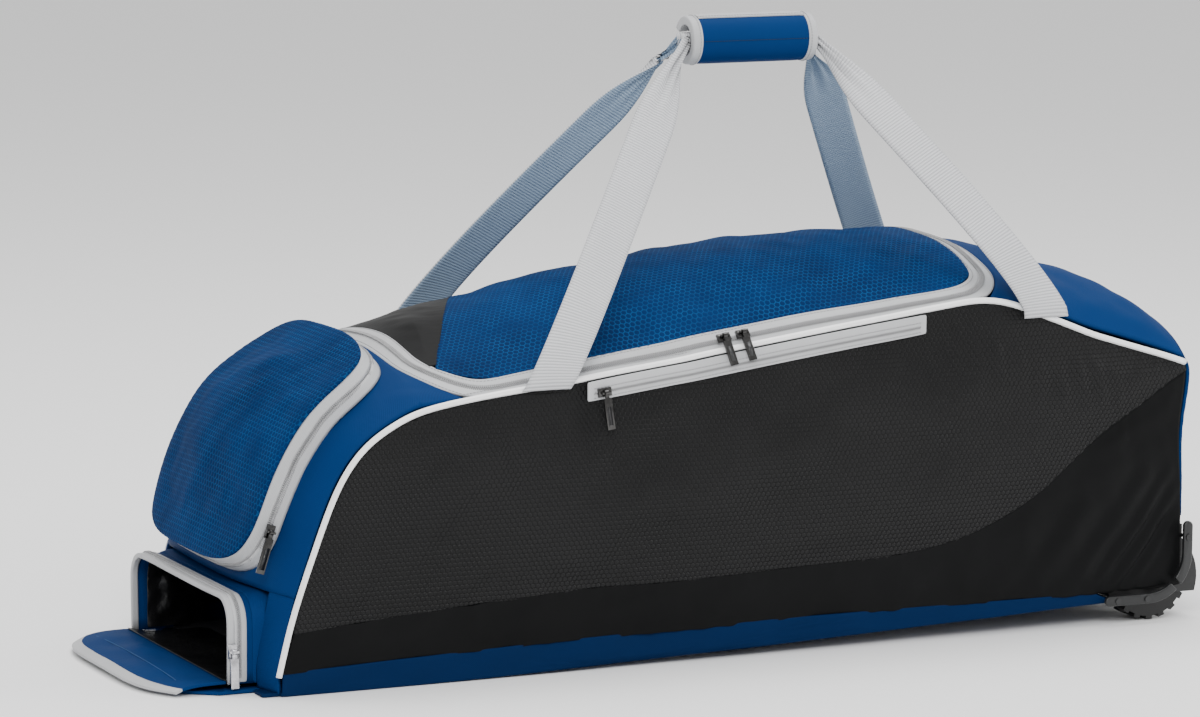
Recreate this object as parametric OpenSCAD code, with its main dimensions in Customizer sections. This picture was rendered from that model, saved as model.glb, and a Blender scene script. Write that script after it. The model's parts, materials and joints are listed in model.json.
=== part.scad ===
// Wheeled equipment bag: a long soft duffel on two corner wheels, with a zipped top lid,
// a zipped pocket on its sloping end, a full-length sleeve below and two webbing handles.
// X runs along the bag towards the wheels, -Y is the panelled near side, Z is up.

/* [Shell] */
// Width between the two side seams
bag_w = 310; // [300:1:320]
// Thickness of a padded fabric panel
wall = 3; // [2:0.5:3]
// How far the side panels belly out at their middle
belly = 9; // [4:1:12]
// Distance from the middle of the whole bag to the middle of the lid
shell_x = 14; // [0:1:30]

/* [Lid] */
// Length of the lid between its end zips
lid_l = 536; // [500:2:560]
// Width of the lid between its near zip and its hinge
lid_w = 286; // [280:1:288]
// Corner radius of the lid's zip
lid_r = 60; // [40:5:80]
// Visible width of the lid's own zip tape
lid_tape_w = 8; // [6:1:12]
// Visible width of the zip tape that stays on the bag, past the lid's ends
body_tape_w = 14; // [10:1:18]

/* [End pocket] */
// Half width of the pocket door
door_half_w = 112; // [100:2:116]
// How far the pocket door stands off the end panel
door_depth = 22; // [18:1:30]

/* [Handles] */
// Width of the carrying webbing
webbing_w = 38; // [30:1:44]
// Thickness of the carrying webbing
webbing_t = 2.4; // [2:0.2:3]
// Length of the padded grip
grip_l = 122; // [100:2:130]
// Outer diameter of the padded grip
grip_d = 42; // [38:1:46]

/* [Wheels] */
// Diameter over the tread
wheel_d = 76; // [70:1:80]
// Width of the tyre
wheel_w = 27; // [22:1:28]
// Number of tread lugs on each edge of the tyre
lug_count = 18; // [12:1:24]
// Radius of the axle pins
axle_r = 4; // [3:0.5:5]

/* [Hidden] */

$fn = 48;

fabric_blue = [0.06, 0.28, 0.54];
dobby_blue = [0.04, 0.24, 0.50];
embossed_black = [0.13, 0.13, 0.135];
coated_black = [0.10, 0.105, 0.11];
tape_silver = [0.78, 0.79, 0.80];
piping_white = [0.95, 0.95, 0.95];
webbing_grey = [0.82, 0.83, 0.84];
lining_black = [0.05, 0.05, 0.055];
board_grey = [0.25, 0.26, 0.28];
wheel_black = [0.07, 0.07, 0.075];
rail_grey = [0.20, 0.205, 0.21];
steel = [0.62, 0.63, 0.65];
gunmetal = [0.26, 0.26, 0.28];

half_w = bag_w / 2;
seam_gap = 0.5;
panel_half_w = half_w - wall - 1;

// Side seam of the shell in X and Z, from the mouth's corner up over the top to the far end
edge_pts = [[-404, 17], [-392, 65], [-373, 119], [-350, 175], [-322, 209], [-282, 231]];
// The same stretch along the bag's middle, where the end panel stands proudest
crown_pts = [[-424, 15], [-418, 69], [-405, 124], [-384, 184], [-350, 230], [-282, 270]];
// Height of the side seam and of the crown along the top, as X and Z pairs
edge_line = [[-282, 231], [-227, 241], [-160, 247], [253, 300], [280, 296], [308, 285],
    [369, 261], [440, 239], [465, 230]];
crown_line = [[-282, 270], [-235, 288], [-150, 310], [-70, 327], [60, 343], [180, 349],
    [256, 348], [320, 331], [395, 309], [440, 293], [465, 274]];
// Down the wheel end, edge and crown
rear_edge_pts = [[465, 229], [470, 214], [467, 150], [465, 92]];
rear_crown_pts = [[466, 273], [479, 246], [479, 160], [474, 92]];
// Seam between the embossed side panel and the plain kick panel
kick_seam_pts = [[-393, 52], [-155, 70], [0, 74], [120, 77], [215, 84], [300, 116], [370, 170],
    [464, 226]];
// Lower edge of the kick panel
kick_foot_pts = [[-403, 20], [-310, 23], [-110, 29], [120, 31], [290, 30], [396, 30], [462, 32]];

// Base: flat at the mouth end, rising to the wheels
base_flat_x = -120;
base_rise = 20;
base_end_x = 384;

// Lid outline, in plan
lid_x0 = 4 - lid_l / 2;
lid_x1 = 4 + lid_l / 2;
lid_y0 = -lid_w / 2;
lid_y1 = lid_w / 2;
hinge_slope = 0.1283;

// Grip and handle geometry
grip_x = 98;
grip_z = 524;
strap_y = half_w + 4.6;
strap_left_x = -165;
strap_right_x = 315;
strap_left_z = 246.5;
strap_right_z = 283;

// Wheels
wheel_x = 436;
wheel_z = wheel_d / 2;
wheel_y = 133.5;
hub_r = 23;

// ---- curves and surfaces ----

function mix(a, b, t) = a + (b - a) * t;
function unit(v) = v / norm(v);
function clamp01(t) = max(0, min(1, t));
function ramp(a, b, x) = clamp01((x - a) / (b - a));

// Smooth curve through the points p, where u runs from 0 to 1
function spline(p, u) =
    let (n = len(p) - 1, s = u * n, i = min(floor(s), n - 1), t = s - i,
        a = p[max(i - 1, 0)], b = p[i], c = p[i + 1], d = p[min(i + 2, n)])
    0.5 * (2 * b + (c - a) * t + (2 * a - 5 * b + 4 * c - d) * t * t
        + (3 * b - a - 3 * c + d) * t * t * t);

// Cross-bag arch from 0 at the seams to 1 in the middle; k makes its shoulders squarer
function arch(v, k) = pow(max(0, 1 - pow(abs(v), 2 + k / 2)), 1 - 0.4 * k);
function squareness(x) = max(1 - ramp(-285, -215, x), ramp(230, 330, x));

// A point of the sloping end, u from the floor up to the top panel
function end_point(u, y) =
    let (e = spline(edge_pts, u), c = spline(crown_pts, u), p = mix(e, c, arch(y / half_w, 1)))
    [p.x, y, p.y];
function top_point(x, y) =
    let (e = lookup(x, edge_line), c = lookup(x, crown_line))
    [x, y, mix(e, c, arch(y / half_w, squareness(x)))];
function rear_point(u, y) =
    let (e = spline(rear_edge_pts, u), c = spline(rear_crown_pts, u),
        p = mix(e, c, arch(y / half_w, 1)))
    [p.x, y, p.y];

// Unit normal of the surface f at u, v
function normal_at(f, u, v) =
    let (h = 0.01, u0 = max(0, u - h), u1 = min(1, u + h), v0 = max(0, v - h), v1 = min(1, v + h))
    unit(cross(f(u1, v) - f(u0, v), f(u, v1) - f(u, v0)));

// Closed sheet lying under the surface f, from depth d0 to depth d0 + t
module sheet(f, nu, nv, t, d0 = 0) {
    at = function(i, j, d) let (u = i / nu, v = j / nv) f(u, v) - normal_at(f, u, v) * d;
    points = [for (d = [d0, d0 + t], i = [0:nu], j = [0:nv]) at(i, j, d)];
    m = nv + 1;
    k = (nu + 1) * m;
    id = function(i, j) i * m + j;
    skin = [for (i = [0:nu - 1], j = [0:nv - 1]) let (a = id(i, j), b = id(i + 1, j))
        each [[a, a + 1, b + 1], [a, b + 1, b]]];
    rim = concat([for (j = [0:nv]) id(0, j)], [for (i = [1:nu]) id(i, nv)],
        [for (j = [1:nv]) id(nu, nv - j)], [for (i = [1:nu - 1]) id(nu - i, 0)]);
    sides = [for (i = [0:len(rim) - 1]) let (a = rim[i], b = rim[(i + 1) % len(rim)])
        each [[a, a + k, b + k], [a, b + k, b]]];
    polyhedron(concat(points), concat(skin, [for (s = skin) [s[0] + k, s[2] + k, s[1] + k]], sides));
}

// Solid through rings of points; closed joins the last ring to the first
module rings(r, closed = false) {
    n = len(r);
    m = len(r[0]);
    last = closed ? n - 1 : n - 2;
    sides = [for (i = [0:last], j = [0:m - 1])
        let (a = i * m, b = ((i + 1) % n) * m, k = (j + 1) % m)
        each [[a + j, a + k, b + k], [a + j, b + k, b + j]]];
    caps = closed ? [] : [[for (j = [m - 1:-1:0]) j], [for (j = [0:m - 1]) (n - 1) * m + j]];
    polyhedron([for (ring = r) each ring], concat(sides, caps));
}

// Round cord of radius r along a path
module cord(path, r, sides = 8) {
    n = len(path) - 1;
    rings([for (i = [0:n])
        let (t = unit(path[min(i + 1, n)] - path[max(i - 1, 0)]),
            side = unit(cross(t, abs(t.y) > 0.9 ? [0, 0, 1] : [0, 1, 0])), up = cross(side, t))
        [for (j = [0:sides - 1]) path[i] + r * (cos(360 * j / sides) * side
            + sin(360 * j / sides) * up)]]);
}

// Flat strip: each station is [centre, half-width vector, half-thickness vector]
module ribbon(stations) {
    rings([for (s = stations) [s[0] - s[1] - s[2], s[0] + s[1] - s[2], s[0] + s[1] + s[2],
        s[0] - s[1] + s[2]]]);
}

module place() translate([shell_x, 0, 0]) children();
module far_side() mirror([0, 1, 0]) children();

// ---- shell ----

function base_z(x) = base_rise * ramp(base_flat_x, base_end_x, x);

module base_slab(x0, x1, w, z0, t)
    translate([0, w / 2, 0]) rotate([90, 0, 0]) linear_extrude(w)
        polygon([[x0, z0], [base_flat_x, z0], [x1, z0 + base_z(x1)], [x1, z0 + base_z(x1) + t],
            [base_flat_x, z0 + t], [x0, z0 + t]]);

base_x = -404;
lip_x = -420;
lip_w = 21;
foot_steps = 24;
module base_side() translate([0, half_w, 0]) rotate([90, 0, 0]) linear_extrude(wall) polygon(concat(
    [[base_x, 0], [base_flat_x, 0], [base_end_x, base_rise]],
    [for (i = [foot_steps:-1:0]) let (p = spline(kick_foot_pts, i / foot_steps)) if (p.x < base_end_x)
        [max(p.x, base_x), p.y - seam_gap]]));
module base_panel() place() color(fabric_blue) {
    base_slab(base_x, base_end_x, bag_w - wall, 0, wall);
    base_side();
    far_side() base_side();
    for (m = [0, 1]) mirror([0, m, 0]) translate([lip_x, panel_half_w - lip_w, 0])
        cube([base_x - lip_x + 1, lip_w, wall]);
}

board_t = 3;
board_margin = 6;
module base_board() place() color(board_grey)
    base_slab(base_x + 8, base_end_x - board_margin, 2 * (panel_half_w - board_margin),
        wall + seam_gap, board_t);

side_steps = 28;
side_rows = 8;
// Side panel between a lower and an upper curve, bellied towards -Y
module side_sheet(low, high, flat_low = 0, flat_high = 0) {
    f = function(u, v) let (a = low(u), b = high(u), p = mix(a, b, v),
        out = belly * sin(180 * clamp01(u)) * sin(90 * mix(flat_low, 2 - flat_high, v)))
        [p.x, -half_w - out, p.y];
    sheet(f, side_steps, side_rows, wall);
}

// Upper boundary of the side: up the sloping end, then along the top to the rear corner
slope_share = 0.24;
slope_start = 0.2;
end_top_x = -282;
rear_top_x = 462;
function side_top(u) = u < slope_share ? spline(edge_pts, mix(slope_start, 1, u / slope_share))
    : let (x = mix(end_top_x, rear_top_x, (u - slope_share) / (1 - slope_share)))
        [x, lookup(x, edge_line)];

// share of the belly at which the two side panels meet
belly_at_seam = 0.35;
module side_panel() side_sheet(function(u) spline(kick_seam_pts, u) + [0, seam_gap],
    function(u) side_top(u), belly_at_seam, 0);
module kick_panel() side_sheet(function(u) spline(kick_foot_pts, u),
    function(u) spline(kick_seam_pts, u) - [0, seam_gap], 0, 2 - belly_at_seam);

module side_panel_near() place() color(embossed_black) side_panel();
module side_panel_far() place() color(embossed_black) far_side() side_panel();
module kick_panel_near() place() color(coated_black) kick_panel();
module kick_panel_far() place() color(coated_black) far_side() kick_panel();

// Plan outline of the lid's zip, grown by off: its left and its right X at a given Y
function corner_in(y, r, off) = let (cy = lid_y0 + r, rr = r + off)
    y > cy ? rr : sqrt(max(0, rr * rr - (y - cy) * (y - cy)));
function lid_left(y, off) = lid_x0 + lid_r - corner_in(y, lid_r, off);
function lid_right(y, off) = lid_x1 - lid_r / 2 + corner_in(y, lid_r / 2, off);

end_share = 0.72;
mouth_top_u = 0.262;
mouth_low_u = 0.02;
end_steps = 16;
width_steps = 24;
module end_panel() place() color(fabric_blue)
    sheet(function(u, v) let (y = mix(-panel_half_w, panel_half_w, v))
        u < end_share ? end_point(mix(mouth_top_u, 1, u / end_share), y)
        : top_point(mix(end_top_x, lid_left(y, body_tape_w + 3 * seam_gap),
            (u - end_share) / (1 - end_share)), y), end_steps, width_steps, wall);

mouth_half_w = 120;
hood_clear = 3.5;
foot_share = 0.2;
gusset_steps = 5;
module mouth_gusset() sheet(function(u, v)
    let (y = mix(-panel_half_w, -mouth_half_w - hood_clear, v), low = end_point(mouth_low_u, y))
    u < foot_share ? mix([low.x + 2, y, wall + 0.6], low, u / foot_share)
    : end_point(mix(mouth_low_u, mouth_top_u - 0.004, (u - foot_share) / (1 - foot_share)), y),
    gusset_steps, gusset_steps, wall);
module mouth_gusset_near() place() color(fabric_blue) mouth_gusset();
module mouth_gusset_far() place() color(fabric_blue) far_side() mouth_gusset();

top_end_x = 464.5;
top_steps = 12;
module top_panel() place() color(fabric_blue)
    sheet(function(u, v) let (y = mix(-panel_half_w, panel_half_w, v))
        top_point(mix(lid_right(y, body_tape_w + seam_gap), top_end_x, u), y),
        top_steps, width_steps, wall);

rear_low_u = 0.03;
rear_high_u = 0.985;
module rear_panel() place() color(fabric_blue)
    sheet(function(u, v) rear_point(mix(rear_low_u, rear_high_u, u),
        mix(-panel_half_w, panel_half_w, v)), 8, 16, wall);

boot_half_w = 111;
boot_z = 22;
boot_size = [88, 2 * boot_half_w, 66];
module boot_panel() place() color(coated_black)
    translate([base_end_x + 1, -boot_half_w, boot_z]) difference() {
        cube(boot_size);
        translate([-1, -1, wall]) cube(boot_size + [1 - wall, 2, 4]);
    }

module hinge_rim() place() color(fabric_blue)
    sheet(function(u, v) let (y = mix(lid_y1 + 2, panel_half_w, v))
        top_point(mix(lid_left(y, body_tape_w), lid_right(y, body_tape_w), u), y),
        width_steps, 2, wall);

// White cord along the side seam
piping_r = 2.2;
piping_off = 2.9;
piping_start = -0.06;
piping_steps = 44;
module piping() cord([for (i = [0:piping_steps])
        let (u = mix(piping_start, 1, i / piping_steps), p = side_top(u), q = side_top(u + 0.005),
            t = unit(q - p))
        [p.x - t.y * piping_off, -half_w - 0.4, p.y + t.x * piping_off]], piping_r, 6);
module piping_near() place() color(piping_white) piping();
module piping_far() place() color(piping_white) far_side() piping();

// ---- zip tapes ----

// Walks the lid's zip line from the far left corner, round the near side, to the far right
// corner, s from 0 to 1: a plan point and the outward direction there
function zip_plan(s) =
    let (r0 = lid_r, r1 = lid_r / 2, y_far = lid_y1 - 1,
        l0 = y_far - (lid_y0 + r0), a0 = r0 * PI / 2, l1 = (lid_x1 - r1) - (lid_x0 + r0),
        a1 = r1 * PI / 2, l2 = y_far - (lid_y0 + r1), d = s * (l0 + a0 + l1 + a1 + l2),
        g0 = 90 * (d - l0) / a0, g1 = 90 * (d - l0 - a0 - l1) / a1)
    d < l0 ? [[lid_x0, y_far - d], [-1, 0]]
    : d < l0 + a0 ? [[lid_x0 + r0 * (1 - cos(g0)), lid_y0 + r0 * (1 - sin(g0))], [-cos(g0), -sin(g0)]]
    : d < l0 + a0 + l1 ? [[lid_x0 + r0 + d - l0 - a0, lid_y0], [0, -1]]
    : d < l0 + a0 + l1 + a1 ? [[lid_x1 - r1 * (1 - sin(g1)), lid_y0 + r1 * (1 - cos(g1))],
        [sin(g1), -cos(g1)]]
    : [[lid_x1, lid_y0 + r1 + d - l0 - a0 - l1 - a1], [1, 0]];

// Tape beside the zip, between two distances from it, kept inside the side seam
module zip_band(off0, off1, n, t) sheet(function(u, v)
    let (z = zip_plan(1 - u), p = z[0], out = z[1],
        room = out.y < -0.01 ? (-panel_half_w - p.y) / out.y : off1,
        q = p + out * mix(off0, min(off1, room), v)) top_point(q.x, q.y),
    n, 2, t);

module main_tape_body() place() color(tape_silver) zip_band(0.6, body_tape_w, 60, 2);

pocket_tape_y = -half_w - 4.4;
pocket_zip_drop = 11;
module side_pocket_tape() place() color(tape_silver)
    sheet(function(u, v) let (x = mix(-126, 198, u))
        [x, pocket_tape_y, lookup(x, edge_line) - pocket_zip_drop + mix(-5.8, 5.8, v)], 12, 1, 2);

module side_pocket_bag() place() color(lining_black)
    sheet(function(u, v) let (x = mix(-140, 205, u))
        [x, -half_w + wall + 2.5, mix(105, lookup(x, edge_line) - 16, v)], 8, 2, 2);

// Outline of the end pocket: w goes once round its edge, grow moves it outwards, lift off the panel
door_u0 = 0.31;
door_u1 = 0.965;
door_power = 4.8;
function door_uv(w, grow) =
    let (a = 360 * w, c = cos(a), s = sin(a), k = 2 / door_power,
        sx = sign(c) * pow(abs(c), k), sy = sign(s) * pow(abs(s), k))
    [mix(door_u0, door_u1, (sy + 1) / 2) + sy * grow / 260, -sx * (door_half_w + grow)];
function end_lifted(u, y, lift) =
    let (h = 0.02, t = end_point(u + h, y) - end_point(u - h, y),
        s = end_point(u, y + 2) - end_point(u, y - 2), n = unit(cross(t, s)))
    end_point(u, y) + n * lift;

module door_band(lift0, grow0, lift1, grow1, t) {
    steps = 56;
    rings([for (i = [0:steps - 1]) let (w = i / steps, a = door_uv(w, grow0), b = door_uv(w, grow1),
            ai = door_uv(w, grow0 - t), bi = door_uv(w, grow1 - t))
        [end_lifted(ai[0], ai[1], lift0), end_lifted(bi[0], bi[1], lift1),
            end_lifted(b[0], b[1], lift1), end_lifted(a[0], a[1], lift0)]], true);
}

mid_lift = door_depth / 2;
door_crown = 5;
module pocket_tape_body() place() color(tape_silver) door_band(1.5, 7, mid_lift - 0.6, 4, 2.4);
module pocket_tape_door() place() color(tape_silver)
    door_band(mid_lift + 0.6, 3.6, door_depth - 0.4, 0, 2.4);

module pocket_door() place() color(dobby_blue)
    sheet(function(u, v) let (a = 2 * u - 1, b = 2 * v - 1, m = max(abs(a), abs(b)),
            k = m < 0.01 ? 1 : m / pow(pow(abs(a), door_power) + pow(abs(b), door_power),
                1 / door_power))
        end_lifted(mix(door_u0, door_u1, (a * k + 1) / 2), b * k * (door_half_w + 0.5),
            door_depth + wall + door_crown * (1 - a * a) * (1 - b * b)), 14, 14, wall);

// ---- sleeve and its mouth ----

mouth_h = 70;
mouth_r = 22;
mouth_z0 = 8;
module mouth_outline(grow) offset(grow) hull() {
    translate([-mouth_half_w + mouth_r, mouth_z0 + mouth_h - mouth_r]) circle(mouth_r, $fn = 32);
    translate([mouth_half_w - mouth_r, mouth_z0 + mouth_h - mouth_r]) circle(mouth_r, $fn = 32);
    translate([-mouth_half_w, -20]) square([2 * mouth_half_w, 1]);
}
module arch_ring(x0, x1, grow0, grow1) intersection() {
    translate([x0, 0, 0]) rotate([90, 0, 90]) linear_extrude(x1 - x0) difference() {
        mouth_outline(grow1);
        mouth_outline(grow0);
    }
    translate([x0 - 1, -half_w, mouth_z0]) cube([x1 - x0 + 2, bag_w, bag_w]);
}
hood_x = -440;
hood_back_x = -405.5;
mouth_tape_w = 5.5;
hood_t = 2;
module mouth_hood() place() color(fabric_blue)
    arch_ring(hood_x + mouth_tape_w + seam_gap, hood_back_x, 0, hood_t);
module mouth_tape() place() color(tape_silver) arch_ring(hood_x, hood_x + mouth_tape_w, -1, 3);

// Three-sided nylon lining of the sleeve, open to the mouth
sleeve_x = -388;
sleeve_z = 27;
sleeve_size = [764, 268, 61];
lining_t = 1.5;
module sleeve_lining() place() color(lining_black)
    translate([sleeve_x, -sleeve_size.y / 2, sleeve_z]) difference() {
        cube(sleeve_size);
        translate([-1, lining_t, -1]) cube(sleeve_size + [2, -2 * lining_t, 1 - lining_t]);
    }

divider_size = [748, 276, 8];
module divider_panel() place() color(board_grey)
    translate([-372, -divider_size.y / 2, sleeve_z + sleeve_size.z + 1]) cube(divider_size);

module haul_handle() place() color(fabric_blue)
    translate([0, 0, 0.3]) difference() {
        linear_extrude(2.4) offset(4) offset(-4) polygon([[-405, -128], [-450, -128], [-478, -108],
            [-482, -88], [-482, -48], [-478, -28], [-450, -8], [-405, -8]]);
        translate([0, 0, -1]) linear_extrude(5) offset(4) offset(-4) polygon([[-404, -106],
            [-440, -106], [-456, -96], [-458, -84], [-458, -52], [-456, -40], [-440, -30],
            [-404, -30]]);
    }

flap_hinge_x = -441;
flap_hinge_z = 14;
flap_l = 68;
flap_split = 0.86;
flap_t = 2.4;
flap_corner = 24;
function flap_point(u, v) = let (y = mix(mouth_half_w + 1, -mouth_half_w - 1, v), w = abs(2 * v - 1),
        l = flap_l - flap_corner * pow(w, 5))
    [flap_hinge_x - 1 - u * l, y, flap_hinge_z - 6.4 + 3 * sin(150 * u) * (1 - w * w) - 5 * pow(u, 4)];
module bat_flap() place() color(fabric_blue)
    sheet(function(u, v) flap_point(u * flap_split, 1 - v), 5, 14, flap_t, 0);
module flap_tape() place() color(tape_silver)
    sheet(function(u, v) flap_point(mix(flap_split + 0.015, 1, u), 1 - v), 2, 14, flap_t, 0);

// ---- lid ----

lid_in = lid_tape_w + 0.6;
lid_end_y0 = -106;
function black_seam(y) = -245 + (y + 108) * 0.5;
module lid_panel() place() color(dobby_blue)
    sheet(function(u, v) let (y = mix(lid_y0 + lid_in, lid_y1 - 1, v),
            x0 = max(lid_left(y, -lid_in), black_seam(y) + 0.4))
        top_point(mix(x0, lid_right(y, -lid_in), u), y), 26, 24, wall);
module lid_end_panel() place() color(coated_black)
    sheet(function(u, v) let (y = mix(lid_end_y0, lid_y1 - 1, v))
        top_point(mix(lid_left(y, -lid_in), black_seam(y) - 0.4, u), y), 8, 16, wall);
module lid_tape() place() color(tape_silver) zip_band(-lid_tape_w, -0.6, 60, 2.4);

// ---- handles ----

function strap_z(x) = mix(strap_left_z, strap_right_z, (x - strap_left_x)
    / (strap_right_x - strap_left_x));

// One leg: from its seam at x0 up to the grip's end at x1; side is the half-width at the seam
grip_y = 5;
fold_w = 13;
fold_t = 6;
leg_steps = 14;
leg_bow = 16;
leg_clear = 2;
function leg_stations(x0, x1, lean) =
    let (z0 = strap_z(x0), foot = [x0, -strap_y, z0], head = [x1, -grip_y, grip_z],
        out = unit([0, -(grip_z - z0), strap_y - grip_y]), along = unit(head - foot),
        flat = unit(cross(along, out)))
    [for (i = [0:leg_steps]) let (u = i / leg_steps, bow = leg_bow * sin(180 * sqrt(u)), k = pow(u, 5),
            foot_w = [webbing_w / 2 / abs(flat.x), 0, 0] * sign(flat.x),
            w = mix(foot_w, flat * webbing_w / 2, clamp01(u * 4)),
            half = mix(w, [0, 0, lean * fold_w / 2], k))
        [mix(foot, head, u) + out * bow, half, mix(out, [0, -1, 0], k) * mix(webbing_t, fold_t, k) / 2]];

module strap() {
    ribbon(leg_stations(strap_left_x, grip_x - grip_l / 2 - leg_clear, -1));
    ribbon(leg_stations(strap_right_x, grip_x + grip_l / 2 + leg_clear, 1));
    translate([grip_x - grip_l / 2 - leg_clear - 0.5, -grip_y - fold_t / 2, grip_z - fold_w / 2])
        cube([grip_l + 2 * leg_clear + 1, fold_t, fold_w]);
}
module near_strap() place() color(webbing_grey) strap();
module far_strap() place() color(webbing_grey) far_side() strap();

// Padded sleeve round both straps, with its slot towards the far side
grip_wall = 6;
slot_h = 19;
module grip_tube(x0, x1, r_out, r_in, slot) difference() {
    translate([x0, 0, grip_z]) rotate([0, 90, 0]) cylinder(h = x1 - x0, r = r_out);
    translate([x0 - 1, 0, grip_z]) rotate([0, 90, 0]) cylinder(h = x1 - x0 + 2, r = r_in);
    translate([x0 - 1, 0, grip_z - slot / 2]) cube([x1 - x0 + 2, r_out + 1, slot]);
}
bind_w = 9;
module grip_wrap() place() color(dobby_blue)
    grip_tube(grip_x - grip_l / 2 + bind_w, grip_x + grip_l / 2 - bind_w, grip_d / 2,
        grip_d / 2 - grip_wall, slot_h);
module grip_binding() place() color(tape_silver) {
    grip_tube(grip_x - grip_l / 2, grip_x - grip_l / 2 + bind_w - 0.2, grip_d / 2 + 0.8,
        grip_d / 2 - grip_wall, slot_h);
    grip_tube(grip_x + grip_l / 2 - bind_w + 0.2, grip_x + grip_l / 2, grip_d / 2 + 0.8,
        grip_d / 2 - grip_wall, slot_h);
}
hook_size = [90, 10, 1.4];
module grip_hook_strip() place() color(lining_black)
    translate([grip_x - hook_size.x / 2, -hook_size.y / 2,
        grip_z - grip_d / 2 + grip_wall + hook_size.z]) cube(hook_size);

patch_size = [48, 2, 40];
patch_drop = 62;
module anchor_patches() place() color(coated_black)
    for (side = [-1, 1], x = [strap_left_x, strap_right_x - 3])
        translate([x - patch_size.x / 2, side * (half_w - wall - 2.5) - 1, strap_z(x) - patch_drop])
            cube(patch_size);

// ---- wheels ----

module along_y(y0, y1, r) translate([0, y1, 0]) rotate([90, 0, 0]) cylinder(h = y1 - y0, r = r);

housing_y0 = -151;
housing_y1 = -114;
module wheel_housing() difference() {
    translate([0, housing_y1, 0]) rotate([90, 0, 0]) linear_extrude(housing_y1 - housing_y0)
        difference() {
            union() {
                translate([wheel_x, wheel_z]) circle(46);
                translate([wheel_x - 46, wheel_z]) square([76, 48]);
            }
            translate([wheel_x - 60, -20]) square([120, 44]);
        }
    translate([wheel_x, 0, wheel_z]) along_y(housing_y0 + 2.5, housing_y1 - 2.5, wheel_d / 2 + 3);
    translate([wheel_x, 0, wheel_z]) along_y(housing_y0 - 1, housing_y1 + 1, axle_r + 0.03);
    translate([wheel_x, housing_y0 + 2.5, -20]) cube([60, housing_y1 - housing_y0 - 5, 60]);
}
module wheel_housing_near() place() color(wheel_black) wheel_housing();
module wheel_housing_far() place() color(wheel_black) far_side() wheel_housing();

// Curved skid rail on the outside of the corner
rail_x = 426;
rail_z = 62;
rail_r = 44;
rail_w = 9;
rail_y = half_w + belly * 0.4 + 1;
screw_spots = [[rail_x - 32, rail_z - rail_r + rail_w / 2], [rail_x - 2, rail_z - rail_r + rail_w / 2],
    [rail_x + rail_r - rail_w / 2, rail_z + 14]];
module skid_rail() translate([0, -rail_y, 0]) rotate([90, 0, 0]) linear_extrude(4.5) {
    difference() {
        translate([rail_x, rail_z]) circle(rail_r, $fn = 96);
        translate([rail_x, rail_z]) circle(rail_r - rail_w, $fn = 96);
        translate([rail_x - 60, rail_z]) square([120, 60]);
        translate([rail_x - 60, 0]) square([60, 120]);
        translate([rail_x, rail_z]) rotate(-45) translate([0, -3]) square([60, 6]);
    }
    translate([rail_x - 40, rail_z - rail_r]) square([40, rail_w]);
    translate([rail_x - 40, rail_z - rail_r + rail_w / 2]) circle(rail_w / 2);
    translate([rail_x + rail_r - rail_w, rail_z]) square([rail_w, 24]);
    translate([rail_x + rail_r - rail_w / 2, rail_z + 24]) circle(rail_w / 2);
}
module skid_rail_near() place() color(rail_grey) skid_rail();
module skid_rail_far() place() color(rail_grey) far_side() skid_rail();

module housing_screws() place() color(steel) for (m = [0, 1]) mirror([0, m, 0])
    for (p = screw_spots) translate([p.x, 0, p.y]) {
        along_y(-rail_y - 4.5, -half_w + wall + 4, 1.6);
        along_y(-rail_y - 6, -rail_y - 4.6, 3);
    }

module axle_pins() place() color(steel) for (m = [0, 1]) mirror([0, m, 0])
    translate([wheel_x, 0, wheel_z]) along_y(housing_y0 + 0.3, housing_y1 + 3, axle_r);

module tyre() translate([wheel_x, 0, wheel_z]) {
    difference() {
        along_y(-wheel_y - wheel_w / 2, -wheel_y + wheel_w / 2, wheel_d / 2 - 3);
        along_y(-wheel_y - wheel_w / 2 - 1, -wheel_y + wheel_w / 2 + 1, hub_r + 0.05);
    }
    for (i = [0:lug_count - 1], s = [0, 1]) rotate([0, 360 * (i + s / 2) / lug_count, 0])
        translate([-3, -wheel_y + (s == 0 ? -wheel_w / 2 : 1), wheel_d / 2 - 5])
            cube([6, wheel_w / 2 - 1, 4.9]);
}
module hub() translate([wheel_x, 0, wheel_z]) difference() {
    along_y(-wheel_y - wheel_w / 2 + 1, -wheel_y + wheel_w / 2 - 1, hub_r);
    along_y(-wheel_y - wheel_w / 2 - 1, -wheel_y - wheel_w / 2 + 5, hub_r - 4);
    along_y(-wheel_y - wheel_w / 2, -wheel_y + wheel_w / 2, axle_r + 0.06);
}
module tyre_near() place() color(wheel_black) tyre();
module tyre_far() place() color(wheel_black) far_side() tyre();
module hub_near() place() color(rail_grey) hub();
module hub_far() place() color(rail_grey) far_side() hub();

// ---- sliders and pulls ----

// Zip slider running along +X on a surface facing -Y; its bridge carries the pull's eye
bridge_r = 1;
pin_out = 2.6;
module slider() {
    translate([-6, 0, -3.6]) cube([12, 3, 7.2]);
    translate([-4, -3.6, -1]) cube([2, 3.7, 2]);
    translate([2, -3.6, -1]) cube([2, 3.7, 2]);
    translate([-4, -pin_out, 0]) rotate([0, 90, 0]) cylinder(h = 8, r = bridge_r, $fn = 24);
}
// The same slider with its run along Z, the pin still across
module upright_slider() {
    translate([-3.6, 0, -6]) cube([7.2, 3, 12]);
    translate([-4, -3.6, -1]) cube([2, 3.7, 2]);
    translate([2, -3.6, -1]) cube([2, 3.7, 2]);
    translate([-4, -pin_out, 0]) rotate([0, 90, 0]) cylinder(h = 8, r = bridge_r, $fn = 24);
}
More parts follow.
